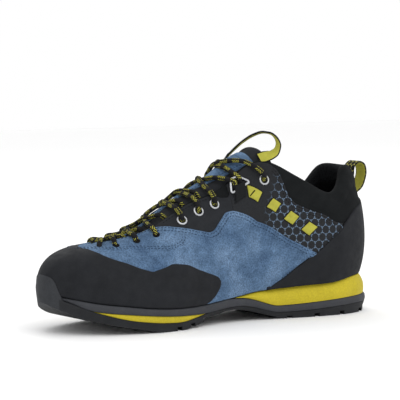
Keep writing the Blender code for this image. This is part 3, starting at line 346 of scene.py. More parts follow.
# Pull loops of webbing: each bend's place and the direction of the band's width, both as s, y, z.
TONGUE_LOOP = (
    (123.8, 9.5, 122.6, 0.0, 0.80, -0.60), (122.2, 10.0, 124.6, -0.2, 0.82, -0.50),
    (119.0, 11.2, 126.4, -0.56, 0.81, -0.14), (111.6, 13.0, 131.2, -0.59, 0.80, -0.15),
    (102.4, 13.0, 137.4, -0.59, 0.80, -0.17), (95.6, 11.0, 141.4, -0.57, 0.80, -0.19),
    (90.4, 6.2, 143.8, -0.52, 0.82, -0.16), (86.6, -1.0, 142.6, -0.45, 0.88, 0.00),
    (86.4, -7.8, 138.2, -0.42, 0.90, 0.06), (89.2, -12.8, 132.6, -0.28, 0.94, 0.16),
    (93.6, -14.9, 128.8, -0.15, 0.92, 0.34), (98.4, -16.2, 127.2, -0.1, 0.80, 0.60),
    (103.0, -16.6, 126.2, -0.1, 0.64, 0.80), (108.4, -16.0, 124.8, -0.1, 0.58, 0.88),
)
TONGUE_LOOP_WIDTH = 10.0
HEEL_LOOP = (
    (9.3, 0.0, 109.0, 0.0, 1.0, 0.0), (8.4, 0.0, 115.0, 0.0, 1.0, 0.0), (3.6, 0.0, 118.4, 0.0, 1.0, 0.0),
    (-1.4, 0.0, 116.4, 0.0, 1.0, 0.0), (-3.2, 0.0, 111.0, 0.0, 1.0, 0.0), (-2.0, 0.0, 104.0, 0.0, 1.0, 0.0),
    (0.9, 0.0, 98.0, 0.0, 1.0, 0.0),
)
HEEL_LOOP_SEATS_Z = (103.5, 93.8)
HEEL_LOOP_WIDTH = 14.0
WEBBING = 1.4
SELVEDGE = 0.80

# Sheets on the upper: where points stand in a rounded edge, as shares of it, and how close the rows are.
ROUNDING = np.array((0.0, 0.05, 0.2, 0.5, 1.0))
MM_PER_ROW = 16.0
ROW_STEP = 0.06
FINE_ROW_STEP = 0.07
CURVE_STEP = 0.01
SHEET_SUNK = 0.3

# A stitch: places along it and the thread's size there.
THREAD_SHAPE = ((-0.5, 0.25), (-0.36, 0.85), (0.0, 1.0), (0.36, 0.85), (0.5, 0.25))

# Moulded and coated surfaces: a key and a name, then the colour, roughness, the grain's scale and its depth
# in millimetres, how much the colour varies, and the specular level.
PLAIN_MATERIALS = (
    ("rand", "rand rubber", (0.0115, 0.0125, 0.0150), 0.75, 1300.0, 0.15, 0.12, 0.16),
    ("outsole", "outsole rubber", (0.015, 0.016, 0.018), 0.66, 700.0, 0.15, 0.12, 0.2),
    ("bumper", "bumper rubber", (0.026, 0.028, 0.032), 0.68, 800.0, 0.12, 0.12, 0.22),
    ("frame", "frame grey", (0.035, 0.037, 0.043), 0.66, 900.0, 0.08, 0.06, 0.25),
    ("yellow", "foam yellow", (0.47, 0.38, 0.020), 0.66, 800.0, 0.10, 0.05, 0.2),
    ("softshell", "softshell black", (0.0085, 0.0095, 0.0102), 0.9, 1500.0, 0.10, 0.12, 0.08),
    ("microfibre", "microfibre black", (0.0170, 0.0185, 0.0215), 0.85, 1100.0, 0.10, 0.12, 0.15),
    ("dark thread", "dark thread", (0.018, 0.032, 0.060), 0.85, 2500.0, 0.05, 0.12, 0.1),
    # Black thread also colours the strap slits, as painted shade.
    ("black thread", "black thread", (0.006, 0.006, 0.007), 0.8, 2500.0, 0.05, 0.12, 0.15),
    # The hole colour is painted shade: near black, for the shadowed insides of holes and slits.
    ("hole", "hole", (0.004, 0.004, 0.004), 0.95, 900.0, 0.02, 0.12, 0.1),
)
WEAR_SCALE = 60.0
WEAVE_PITCH = 0.9
# The printed honeycomb: its pitch, line width and gaps, and where it fades out.
HEX_PITCH = 6.6
HEX_LINE = 0.36
HEX_GAP = 0.06
FADE_OVER_Z = 84.0
FADE_SLOPE = 0.42
FADE_S = (114.5, 104.5)
# The lace's flecks: the distance between them, and the groups that they come in.
FLECK_PITCH = 1.6
FLECK_GROUP = 10.0
FLECK_SHARE = 0.60

SIDES = ((-1, "medial"), (1, "lateral"))

# The lights: name, place, power and size.
LIGHTS = (
    ("key", (-0.6, -1.4, 1.5), 10.0, 1.2),
    ("fill", (1.2, -1.0, 0.9), 3.0, 1.4),
    ("back", (0.3, 1.4, 1.3), 6.0, 1.2),
)
LIGHTS_AIM = (0.0, 0.0, 0.06)
CAMERA_TURN = -33.4
CAMERA_RISE = 5.3
CAMERA_DISTANCE = 1.8
CAMERA_LENS = 209.25
CAMERA_AT = (-0.001, -0.0006, 0.060)
AIM_UP = 0.0330
AIM_RIGHT = -0.0023


def table_spline(rows, columns, column):
    """A smooth curve through one column of a table, against its first column."""
    xs = np.array([row[0] for row in rows], float)
    ys = np.array([row[columns.index(column)] for row in rows], float)
    slopes = np.gradient(ys, xs)

    def value(x):
        x = np.clip(np.asarray(x, float), xs[0], xs[-1])
        i = np.clip(np.searchsorted(xs, x) - 1, 0, len(xs) - 2)
        span = xs[i + 1] - xs[i]
        t = (x - xs[i]) / span
        start = (1 + 2 * t) * (1 - t) ** 2 * ys[i] + t * (1 - t) ** 2 * span * slopes[i]
        end = t * t * (3 - 2 * t) * ys[i + 1] + t * t * (t - 1) * span * slopes[i + 1]
        return start + end

    return value


def loop_spline(medial, lateral):
    """A closed smooth curve through the medial rows, heel to toe, and back through the lateral rows."""
    knots = np.array(list(medial) + list(lateral[-2:0:-1]), float)
    count = len(knots)
    system = 4 * np.eye(count) + np.roll(np.eye(count), 1, 1) + np.roll(np.eye(count), -1, 1)
    second = np.linalg.solve(system, 6 * (np.roll(knots, -1) - 2 * knots + np.roll(knots, 1)))

    def value(row):
        row = np.asarray(row, float) % count
        i = np.floor(row).astype(int) % count
        j = (i + 1) % count
        t = row - np.floor(row)
        bend = t * (1 - t) / 6 * ((2 - t) * second[i] + (1 + t) * second[j])
        return (1 - t) * knots[i] + t * knots[j] - bend

    return value


def outline_loop(medial_column, lateral_column):
    """A closed curve round the outline, from a medial and a lateral column."""
    medial = OUTLINE_COLUMNS.index(medial_column)
    lateral = OUTLINE_COLUMNS.index(lateral_column)
    return loop_spline([row[medial] for row in OUTLINE], [row[lateral] for row in OUTLINE])


outline_s = outline_loop("s", "s")
outline_y = outline_loop("medial", "lateral")
foot_inset = outline_loop("foot_inset", "foot_inset")
rib = {
    name: loop_spline([row[i] for row in MEDIAL_RIBS], [row[i] for row in LATERAL_RIBS])
    for i, name in enumerate(RIB_COLUMNS)
}
sole_height = {name: table_spline(SOLE_HEIGHTS, SOLE_COLUMNS, name) for name in SOLE_COLUMNS[1:]}
crown_lift = table_spline(CROWN, CROWN_COLUMNS, "lift")


def smooth_step(low, high, x):
    """0 below low and 1 above high, with a smooth rise between them."""
    t = np.clip((np.asarray(x, float) - low) / (high - low), 0.0, 1.0)
    return t * t * (3 - 2 * t)


def unit(vectors):
    """The same directions, each of length 1."""
    return vectors / np.linalg.norm(vectors, axis=-1, keepdims=True)


def from_heel(row):
    """How many rows a place is from the heel's middle, on either side."""
    row = np.asarray(row, float) % LOOP_ROWS
    return np.minimum(row, LOOP_ROWS - row)


def plan_normal(row):
    """The outline's outward direction in plan, as s and y."""
    step = 0.01
    ds = outline_s(row + step) - outline_s(row - step)
    dy = outline_y(row + step) - outline_y(row - step)
    size = np.hypot(ds, dy)
    return dy / size, -ds / size


def outline_point(row, inset):
    """The outline's place in plan, moved in by the inset."""
    normal_s, normal_y = plan_normal(row)
    return outline_s(row) - inset * normal_s, outline_y(row) - inset * normal_y


def upper_point(row, v):
    """The upper's outer face: row goes round the shoe, v up from the sole (0) to the collar or throat (1)."""
    row, v = np.broadcast_arrays(np.asarray(row, float), np.asarray(v, float))
    low_s, low_y = outline_point(row, foot_inset(row))
    low_z = sole_height["foot"](low_s)
    normal_s, normal_y = plan_normal(row)
    top_s, top_y, top_z, low_out, low_up, high_out, high_down = (rib[name](row) for name in RIB_COLUMNS)
    knots = (
        (low_s, low_y, low_z),
        (low_s + low_out * normal_s, low_y + low_out * normal_y, low_z + low_up),
        (top_s + high_out * normal_s, top_y + high_out * normal_y, top_z - high_down),
        (top_s, top_y, top_z),
    )
    weights = ((1 - v) ** 3, 3 * v * (1 - v) ** 2, 3 * v * v * (1 - v), v**3)
    return np.stack([sum(w * knot[axis] for w, knot in zip(weights, knots)) for axis in range(3)], -1)


def upper_normal(row, v):
    """The outward direction of the upper's outer face."""
    row, v = np.broadcast_arrays(np.asarray(row, float), np.asarray(v, float))
    step = 0.02
    v = np.clip(v, step, 1 - step)
    along = upper_point(row + step, v) - upper_point(row - step, v)
    rise = upper_point(row, v + step) - upper_point(row, v - step)
    return unit(np.cross(along, rise))


def wall_thickness(row, v):
    """The upper's wall is thin below and padded towards the collar."""
    at_collar = 1 - smooth_step(COLLAR_ROWS[0], COLLAR_ROWS[1], from_heel(row))
    return WALL + (COLLAR_WALL - WALL) * at_collar * smooth_step(COLLAR_FROM_V, COLLAR_FULL_V, v)


def upper_layer(row, v, off):
    """A point off the upper's outer face, outwards where off is positive."""
    return upper_point(row, v) + upper_normal(row, v) * np.asarray(off, float)[..., None]


def row_at(s):
    """The medial outline row at a distance from the heel."""
    rows = np.linspace(0, TOE_ROW, 721)
    return np.interp(s, outline_s(rows), rows)


def medial_place(s, z):
    """The row and v of the place on the medial face that has this s and z."""
    rows, vs = np.meshgrid(np.linspace(0, TOE_ROW, 181), np.linspace(0, 1, 41), indexing="ij")
    grid = upper_point(rows, vs)
    nearest = np.argmin((grid[..., 0] - s) ** 2 + (grid[..., 2] - z) ** 2)
    place = np.array([rows.flat[nearest], vs.flat[nearest]])
    for _ in range(6):
        here = upper_point(*place)
        miss = np.array([s - here[0], z - here[2]])
        row_slope = (upper_point(place[0] + 0.01, place[1]) - here)[[0, 2]] / 0.01
        v_slope = (upper_point(place[0], place[1] - 0.001) - here)[[0, 2]] / -0.001
        slopes = np.stack([row_slope, v_slope], 1)
        if abs(np.linalg.det(slopes)) < 1.0:
            break
        place = place + np.clip(np.linalg.solve(slopes, miss), (-0.5, -0.1), (0.5, 0.1))
        place[1] = np.clip(place[1], 0.0, 1.0)
    return place


def on_side(side, row):
    """A medial row, or the same row across the shoe."""
    return LOOP_ROWS - row if side > 0 else row


def row_of(place):
    """The medial row of a place given by s and z."""
    return medial_place(*place)[0]


def shoe_to_world(points):
    """Shoe coordinates in millimetres as the scene's, in metres."""
    points = np.asarray(points, float).reshape(-1, 3)
    return np.stack([MIDDLE_S - points[:, 0], points[:, 1] - MIDDLE_Y, points[:, 2]], 1) * MM


def add_piece(name, points, faces, materials, replaces=(), corner_uv=None, face_slots=None,
              smooth=40.0):
    """One mesh of the shoe, which rides on the only body; edges over smooth degrees stay sharp."""
    mesh = bpy.data.meshes.new(name)
    mesh.from_pydata(shoe_to_world(points).tolist(), [], faces)
    for material in materials if isinstance(materials, list) else [materials]:
        mesh.materials.append(material)
    if corner_uv is not None:
        layer = mesh.uv_layers.new(name="UVMap")
        layer.data.foreach_set("uv", np.asarray(corner_uv, float).ravel())
    if face_slots is not None:
        mesh.polygons.foreach_set("material_index", np.asarray(face_slots, int))
    work = bmesh.new()
    work.from_mesh(mesh)
    bmesh.ops.remove_doubles(work, verts=work.verts, dist=0.005 * MM)
    bmesh.ops.recalc_face_normals(work, faces=work.faces)
    work.to_mesh(mesh)
    work.free()
    mesh.shade_smooth()
    mesh.set_sharp_from_angle(angle=math.radians(smooth))
    item = bpy.data.objects.new(name, mesh)
    bpy.context.collection.objects.link(item)
    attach(item, "root")
    if replaces:
        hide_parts(*replaces)
    return item


def loft(profiles, wrap=False, u=None, v=None):
    """The points, faces and corner UVs of a row of closed profiles: sections, corners and coordinates."""
    profiles = np.asarray(profiles, float)
    sections, corners = profiles.shape[:2]
    index = np.arange(sections * corners).reshape(sections, corners)
    here = index if wrap else index[:-1]
    there = np.roll(index, -1, 0) if wrap else index[1:]
    faces = np.stack([here, there, np.roll(there, -1, 1), np.roll(here, -1, 1)], -1).reshape(-1, 4).tolist()
    count = len(here)
    us = np.arange(count + 1.0) if u is None else np.asarray(u, float)
    vs = np.arange(corners + 1.0) if v is None else np.asarray(v, float)
    u_grid = np.stack([us[:-1], us[1:], us[1:], us[:-1]], -1)[:, None, :].repeat(corners, 1)
    v_grid = np.stack([vs[:-1], vs[:-1], vs[1:], vs[1:]], -1)[None, :, :].repeat(count, 0)
    uv = np.stack([u_grid, v_grid], -1).reshape(-1, 2)
    if not wrap:
        across = corners // 2 - 1
        for ends in (index[0].tolist(), index[-1].tolist()):
            faces += [[ends[j], ends[j + 1], ends[-2 - j], ends[-1 - j]] for j in range(across)]
        uv = np.concatenate([uv, np.zeros((2 * across * 4, 2))])
    return profiles.reshape(-1, 3), faces, uv


def loft_slots(slots, sections, at_ends):
    """The material of each face of a loft, from those along one profile and the one at both ends."""
    return np.concatenate([np.tile(slots, sections - 1), np.full(2 * (len(slots) // 2 - 1), at_ends)])


def polyline_lengths(points):
    """The distance along a polyline at each of its points; the points run along the axis before the last."""
    steps = np.linalg.norm(np.diff(points, axis=-2), axis=-1)
    start = np.zeros(steps.shape[:-1] + (1,))
    return np.concatenate([start, np.cumsum(steps, axis=-1)], -1)


def blur(values, width):
    """A curve's values averaged with their neighbours."""
    kernel = np.hanning(width + 2)[1:-1]
    padded = np.concatenate([np.full(width // 2, values[0]), values, np.full(width // 2, values[-1])])
    return np.convolve(padded, kernel / kernel.sum(), mode="valid")[:len(values)]


def smooth_edge(places, width=31):
    """An overlay's edge as v against the row, the same on both sides, with its corners rounded."""
    found = sorted(tuple(medial_place(s, z)) for s, z in places)
    rows, vs = zip(*found)
    fine = np.arange(rows[0], rows[-1] + CURVE_STEP, CURVE_STEP)
    curve = blur(np.interp(fine, rows, vs), width)
    return lambda row: np.interp(from_heel(row), fine, curve)


def dense_rows(first, last, step=ROW_STEP, edge=1.0):
    """Rows close together at both ends, where a sheet's edge is rounded."""
    near = ROUNDING * edge / MM_PER_ROW
    middle = np.arange(first + near[-1] + step, last - near[-1] - step / 2, step)
    return np.concatenate([first + near, middle, last - near[::-1]])


def round_edge(share):
    """The height of a rounded edge, from 0 at the edge to 1 where it is flat."""
    return np.sqrt(1 - (1 - share) ** 2)


def make_sheet(name, rows, low, high, base, thick, material, steps=60, edge=1.0, relief=None,
               replaces=()):
    """A sheet on the upper between two edges, with rounded edges; relief adds to its height."""
    low_v, high_v = np.broadcast_to(low(rows), rows.shape), np.broadcast_to(high(rows), rows.shape)
    share = np.linspace(0, 1, 60)
    fine_v = low_v[:, None] + (high_v - low_v)[:, None] * share
    fine = upper_point(rows[:, None] + 0 * fine_v, fine_v)
    lengths = polyline_lengths(fine)
    total = lengths[:, -1:]
    margin = np.minimum(edge, total * 0.3)
    middle = margin + (total - 2 * margin) * np.linspace(0, 1, steps)[None, 1:-1]
    at = np.concatenate([ROUNDING * margin, middle, total - ROUNDING[::-1] * margin], 1)
    v = np.stack([np.interp(at[i], lengths[i], fine_v[i]) for i in range(len(rows))])
    from_edge = np.clip(np.minimum(at, total - at) / margin, 0, 1)
    along = polyline_lengths(fine[:, 30])
    from_end = np.clip(np.minimum(along, along[-1] - along) / edge, 0, 1)[:, None]
    height = round_edge(from_edge) * round_edge(from_end)
    grid_rows = np.broadcast_to(rows[:, None], v.shape)
    base_off = base(grid_rows, v) if callable(base) else np.full(v.shape, base)
    off = base_off + thick * height
    if relief is not None:
        off = off + relief(grid_rows, v, total - at) * height
    outer = upper_layer(grid_rows, v, off)
    inner = upper_layer(grid_rows, v, base_off - SHEET_SUNK)
    across = at[len(at) // 2]
    points, faces, uv = loft(np.concatenate([outer, inner[:, ::-1]], 1), u=along,
                             v=np.concatenate([across, across[::-1], [0.0]]))
    return add_piece(name, points, faces, material, replaces, uv)


def shift_curve(rows, vs, distance):
    """A curve on the upper moved sideways along its face: towards lower v when distance is positive."""
    tangent = unit(np.gradient(upper_point(rows, vs), axis=0))
    beside = np.cross(tangent, upper_normal(rows, vs))
    up = upper_point(rows, np.clip(vs + 0.01, 0, 1)) - upper_point(rows, np.clip(vs - 0.01, 0, 1))
    beside *= -np.sign(np.sum(beside * up, axis=1, keepdims=True))
    row_slope = (upper_point(rows + 0.01, vs) - upper_point(rows - 0.01, vs)) / 0.02
    v_slope = (upper_point(rows, vs + 0.005) - upper_point(rows, vs - 0.005)) / 0.01
    moved = beside * distance
    a, b, c = (np.sum(first * second, 1) for first, second in (
        (row_slope, row_slope), (row_slope, v_slope), (v_slope, v_slope)))
    d, e = np.sum(row_slope * moved, 1), np.sum(v_slope * moved, 1)
    det = a * c - b * b
    return rows + (c * d - b * e) / det, vs + (a * e - b * d) / det


def transport_frames(route, up):
    """Two directions square to a route that turn as little as possible along it."""
    tangents = unit(np.gradient(route, axis=0))
    beside = np.zeros_like(route)
    beside[0] = unit(np.cross(tangents[0], up))
    for i in range(1, len(route)):
        beside[i] = unit(beside[i - 1] - tangents[i] * np.dot(beside[i - 1], tangents[i]))
    return beside, np.cross(beside, tangents)


def smooth_route(points, count):
    """Evenly spaced points on a smooth curve through the given ones."""
    points = np.array(points, float)
    steps = polyline_lengths(points)
    columns = ("at", "s", "y", "z")
    rows = [(at, *point) for at, point in zip(steps, points)]
    where = np.linspace(0, steps[-1], count)
    return np.stack([table_spline(rows, columns, name)(where) for name in columns[1:]], -1)


def circle(count):
    """The cosines and sines of evenly spaced angles."""
    angles = 2 * np.pi * np.arange(count) / count
    return np.cos(angles)[:, None], np.sin(angles)[:, None]


def oval_rings(beside, above, wide, high, sides):
    """An oval at each point of a route, from two directions square to it."""
    cosines, sines = circle(sides)
    return beside[:, None] * cosines * wide + above[:, None] * sines * high


def make_tube(name, route, wide, high, sides, material, replaces=()):
    """An oval tube along a route, its ends rounded."""
    beside, above = transport_frames(route, (0.0, 0.0, 1.0))
    along = polyline_lengths(route)
    from_end = np.minimum(along, along[-1] - along) / max(wide, high)
    taper = round_edge(np.clip(from_end, 0.02, 1))[:, None, None]
    rings = oval_rings(beside, above, wide, high, sides) * taper
    points, faces, uv = loft(route[:, None] + rings, u=along, v=np.arange(sides + 1) / sides)
    return add_piece(name, points, faces, material, replaces, uv, smooth=80.0)


def make_stitches(name, curves, material, pitch=2.7, length=1.9, radius=0.27):
    """Rows of short threads along curves, each a pair of arrays of points and outward directions."""
    sides = 6
    points, faces = [], []
    for curve, out in curves:
        along = polyline_lengths(curve)
        for at in np.arange(pitch, along[-1] - pitch / 2, pitch):
            middle, ahead, behind, normal = (
                np.array([np.interp(place, along, values[:, axis]) for axis in range(3)])
                for place, values in ((at, curve), (at + 0.4, curve), (at - 0.4, curve), (at, out)))
            tangent = unit(ahead - behind)
            beside = np.cross(tangent, normal)
            start = len(points)
            for t, size in THREAD_SHAPE:
                centre = middle + tangent * t * length - normal * radius * 1.2 * (2 * abs(t)) ** 3
                for cosine, sine in zip(*circle(sides)):
                    points.append(centre + (beside * cosine + normal * sine) * radius * size)
            rings = [[start + i * sides + j for j in range(sides)] for i in range(len(THREAD_SHAPE))]
            for ring, after in zip(rings, rings[1:]):
                for j in range(sides):
                    k = (j + 1) % sides
                    faces.append([ring[j], after[j], after[k], ring[k]])
            faces += [rings[0], rings[-1]]
    return add_piece(name, np.array(points), faces, material, smooth=80.0)


def surface_curve(rows, vs, off):
    """A curve on the upper as points and outward directions."""
    rows, vs = np.asarray(rows, float), np.asarray(vs, float)
    return upper_layer(rows, vs, off), upper_normal(rows, vs)


class Value:
    """A number inside a material. Sums and products of it add nodes to the material's tree."""

    def __init__(self, tree, socket):
        self.tree = tree
        self.socket = socket

    def maths(self, operation, second=0.0):
        return maths(self.tree, operation, self, second)

    def __add__(self, other):
        return self.maths("ADD", other)

    def __sub__(self, other):
        return self.maths("SUBTRACT", other)

    def __rsub__(self, other):
        return maths(self.tree, "SUBTRACT", other, self)

    def __mul__(self, other):
        return self.maths("MULTIPLY", other)

    def __truediv__(self, other):
        return self.maths("DIVIDE", other)

    def over_whole(self):
        """What is left over the whole number below it."""
        return self - self.maths("FLOOR")


def connect(tree, value, socket):
    """Links a value to a socket, or sets the socket to a plain number or colour."""
    if isinstance(value, Value):
        value = value.socket
    if isinstance(value, bpy.types.NodeSocket):
        tree.links.new(value, socket)
    else:
        socket.default_value = (*value, 1.0) if isinstance(value, tuple) else value


def add_node(tree, kind, inputs=None, **settings):
    """A node with some settings, its inputs linked or set."""
    made = tree.nodes.new(kind)
    for name, value in settings.items():
        setattr(made, name, value)
    for name, value in (inputs or {}).items():
        connect(tree, value, made.inputs[name])
    return made


def new_material(name, roughness, specular):
    """A material, with its node tree and its shader."""
    material = bpy.data.materials.new(name)
    material.use_nodes = True
    shader = material.node_tree.nodes["Principled BSDF"]
    shader.inputs["Roughness"].default_value = roughness
    shader.inputs["Specular IOR Level"].default_value = specular
    return material, material.node_tree, shader


def coordinates(tree, kind):
    """The surface's own coordinates, of the given kind."""
    return add_node(tree, "ShaderNodeTexCoord").outputs[kind]


def noise(tree, scale, detail=3.0, rough=0.55):
    """Even noise through the whole shoe."""
    made = add_node(tree, "ShaderNodeTexNoise", inputs={
        "Vector": coordinates(tree, "Object"), "Scale": scale, "Detail": detail, "Roughness": rough})
    return made.outputs["Fac"]


def ramp(tree, factor, *stops):
    """Colours against a factor; a stop's colour is a tuple, or one number for a grey."""
    made = add_node(tree, "ShaderNodeValToRGB", inputs={"Fac": factor})
    elements = made.color_ramp.elements
    while len(elements) < len(stops):
        elements.new(0.5)
    for element, (position, colour) in zip(elements, stops):
        element.position = position
        element.color = (*colour, 1.0) if isinstance(colour, tuple) else (colour, colour, colour, 1.0)
    return made.outputs["Color"]


def maths(tree, operation, first, second=0.0):
    """The result of a node that takes one or two numbers."""
    made = add_node(tree, "ShaderNodeMath", operation=operation)
    connect(tree, first, made.inputs[0])
    connect(tree, second, made.inputs[1])
    return Value(tree, made.outputs[0])


def mix_colours(tree, factor, first, second, blend="MIX"):
    """Two colours mixed by a factor."""
    made = add_node(tree, "ShaderNodeMix", data_type="RGBA", blend_type=blend)
    for number, value in ((0, factor), (6, first), (7, second)):
        connect(tree, value, made.inputs[number])
    return made.outputs[2]


def shade(tree, base, factor, share, low, high):
    """A colour made darker and lighter by a factor, through greys between low and high."""
    return mix_colours(tree, share, base, ramp(tree, factor, low, high), "OVERLAY")


def add_bump(tree, shader, height, strength, distance):
    """Relief of a height in millimetres, over any relief that is there."""
    made = add_node(tree, "ShaderNodeBump", inputs={
        "Height": height, "Strength": strength, "Distance": distance * MM})
    if shader.inputs["Normal"].is_linked:
        tree.links.new(shader.inputs["Normal"].links[0].from_socket, made.inputs["Normal"])
    tree.links.new(made.outputs["Normal"], shader.inputs["Normal"])


def suede_material():
    """Blue suede: brushed patches, a fine nap and a faint sheen."""
    material, tree, shader = new_material("suede blue", 0.93, 0.1)
    shader.inputs["Sheen Weight"].default_value = 0.10
    shader.inputs["Sheen Tint"].default_value = (0.5, 0.7, 1.0, 1.0)
    patches = noise(tree, 38.0, 2.5, 0.5)
    base = ramp(tree, patches, (0.33, (0.050, 0.092, 0.165)), (0.52, (0.078, 0.134, 0.222)),
                (0.68, (0.112, 0.178, 0.280)))
    brushed = noise(tree, 150.0, 3.0, 0.6)
    nap = noise(tree, 900.0, 2.0, 0.7)
    base = shade(tree, base, brushed, 0.5, (0.35, 0.40), (0.65, 0.60))
    base = shade(tree, base, nap, 0.75, (0.36, 0.28), (0.64, 0.72))
    tree.links.new(base, shader.inputs["Base Color"])
    add_bump(tree, shader, nap, 0.5, 0.35)
    add_bump(tree, shader, brushed, 0.4, 0.5)
    return material


def plain_material(name, colour, roughness, grain, depth, vary, specular):
    """A moulded or coated surface: nearly one colour, with a fine grain and slight wear."""
    material, tree, shader = new_material(name, roughness, specular)
    dark, light = (tuple(c * share for c in colour) for share in (1 - vary, 1 + vary))
    base = ramp(tree, noise(tree, WEAR_SCALE), (0.35, dark), (0.65, light))
    fine = noise(tree, grain, 2.0, 0.6)
    base = shade(tree, base, fine, 0.35, (0.3, 0.35), (0.7, 0.65))
    tree.links.new(base, shader.inputs["Base Color"])
    worn = noise(tree, WEAR_SCALE * 2.5, 2.0)
    tree.links.new(ramp(tree, worn, (0.3, roughness * 0.88), (0.7, min(roughness * 1.1, 1.0))),
                   shader.inputs["Roughness"])
    add_bump(tree, shader, fine, 0.5, depth)
    return material


def knit_material(name, colour, pitch, depth):
    """A dark knitted lining: small cells in offset rows, darker in the middle of each cell as painted shade
    in the knit's dips.
    """
    material, tree, shader = new_material(name, 0.95, 0.08)
    voronoi = add_node(tree, "ShaderNodeTexVoronoi", inputs={
        "Vector": coordinates(tree, "Object"), "Scale": 1000.0 / pitch, "Randomness": 0.35})
    cells = voronoi.outputs["Distance"]
    # The cells' dips take a darker copy of the colour and the threads a lighter one: painted shade between
    # the threads.
    hollow_shade, thread = (tuple(c * share for c in colour) for share in (0.35, 1.3))
    tree.links.new(ramp(tree, cells, (0.1, hollow_shade), (0.55, thread)), shader.inputs["Base Color"])
    add_bump(tree, shader, cells, 0.7, depth)
    return material


def split(tree, kind):
    """The three numbers of a place."""
    made = add_node(tree, "ShaderNodeSeparateXYZ", inputs={"Vector": coordinates(tree, kind)})
    return [Value(tree, socket) for socket in made.outputs]


def hexagon_lines(across, up, pitch, width):
    """1 on a honeycomb's lines apart from their middles, and 0 elsewhere, from two lengths in millimetres."""
    cells = []
    for shift in (0.0, 0.5):
        cells.append([((value / size + shift).over_whole() - 0.5) * size
                      for value, size in ((across, pitch), (up, pitch * math.sqrt(3)))])
    first_reach, second_reach = (a * a + b * b for a, b in cells)
    use_second = second_reach.maths("LESS_THAN", first_reach)
    out, over = ((a + (b - a) * use_second).maths("ABSOLUTE") for a, b in zip(*cells))
    edge = out.maths("MAXIMUM", out * 0.5 + over * (math.sqrt(3) / 2))
    along = (out * out + over * over - edge * edge).maths("SQRT")
    on_line = edge.maths("GREATER_THAN", pitch / 2 - width)
    return on_line * along.maths("GREATER_THAN", pitch * HEX_GAP)


def flap_material():
    """Smooth black microfibre with a printed honeycomb that fades out towards the toe and the collar."""
    material, tree, shader = new_material("flap black", 0.82, 0.15)
    fine = noise(tree, 1100.0, 2.0, 0.6)
    cloth = ramp(tree, fine, (0.3, (0.0125, 0.0135, 0.0155)), (0.7, (0.0205, 0.0215, 0.0240)))
    x, _, z = split(tree, "Object")
    s = MIDDLE_S - x * 1000.0
    up = z * 1000.0
    lines = hexagon_lines(s + 1000.0, up + 1000.3, HEX_PITCH, HEX_LINE)
    reach = s + (up - FADE_OVER_Z).maths("MAXIMUM", 0.0) * FADE_SLOPE
    fade = add_node(tree, "ShaderNodeMapRange", inputs={
        "Value": reach, "From Min": FADE_S[0], "From Max": FADE_S[1], "To Min": 0.0, "To Max": 1.0})
    shown = lines * fade.outputs[0] * 0.85
    tree.links.new(mix_colours(tree, shown, cloth, (0.120, 0.175, 0.250)), shader.inputs["Base Color"])
    add_bump(tree, shader, fine, 0.35, 0.12)
    return material


def webbing_material(name, colour, printed=False):
    """Plain woven webbing, with or without a honeycomb woven in; its threads are painted darker where they
    dip and lighter where they cross, as shade and highlight.
    """
    material, tree, shader = new_material(name, 0.88, 0.12)
    along, across, _ = split(tree, "UV")
    warp, weft = ((way * (2 * math.pi / WEAVE_PITCH)).maths("SINE") for way in (along, across))
    weave_and_shade = warp * weft * 0.5 + 0.5
    # Darker where the threads dip and lighter where they cross: painted shade and highlight.
    base = mix_colours(tree, weave_and_shade, tuple(c * 0.62 for c in colour), tuple(c * 1.12 for c in colour))
    base = shade(tree, base, noise(tree, 220.0), 0.5, (0.3, 0.40), (0.7, 0.60))
    if printed:
        lines = hexagon_lines(across + 500.0, along + 500.0, 4.6, 0.36)
        base = mix_colours(tree, lines * 0.9, base, (0.40, 0.37, 0.09))
    tree.links.new(base, shader.inputs["Base Color"])
    add_bump(tree, shader, weave_and_shade, 0.8, 0.25)
    return material


def lace_material():
    """Black braid with groups of slanted yellow flecks."""
    material, tree, shader = new_material("lace braid", 0.85, 0.15)
    along, around, _ = split(tree, "UV")
    left, right = (((along / FLECK_PITCH + around * 6.0 * slope) * (2 * math.pi)).maths("SINE")
                   for slope in (1.0, -1.0))
    part = (along / FLECK_GROUP).over_whole()
    first_half = part.maths("LESS_THAN", 0.5)
    chosen = left * first_half + right * (1.0 - first_half)
    in_group = (part - 0.5).maths("ABSOLUTE").maths("LESS_THAN", FLECK_SHARE / 2)
    in_strip = ((around * 3.0).over_whole() - 0.5).maths("ABSOLUTE").maths("LESS_THAN", 0.34)
    fleck = in_group * in_strip * chosen.maths("GREATER_THAN", 0.60)
    dark = ramp(tree, noise(tree, 1500.0, 2.0), (0.3, (0.006, 0.006, 0.007)), (0.7, (0.016, 0.016, 0.018)))
    tree.links.new(mix_colours(tree, fleck, dark, (0.52, 0.49, 0.07)), shader.inputs["Base Color"])
    add_bump(tree, shader, left.maths("MAXIMUM", right), 0.8, 0.3)
    return material


def metal_material():
    """Silver-coloured metal with fine scuffs."""
    material, tree, shader = new_material("silver metal", 0.28, 0.6)
    shader.inputs["Metallic"].default_value = 0.9
    scuffs = noise(tree, 700.0, 3.0, 0.7)
    tree.links.new(ramp(tree, scuffs, (0.3, (0.36, 0.37, 0.39)), (0.7, (0.56, 0.57, 0.59))),
                   shader.inputs["Base Color"])
    tree.links.new(ramp(tree, scuffs, (0.3, 0.22), (0.7, 0.40)), shader.inputs["Roughness"])
    add_bump(tree, shader, scuffs, 0.15, 0.05)
    return material


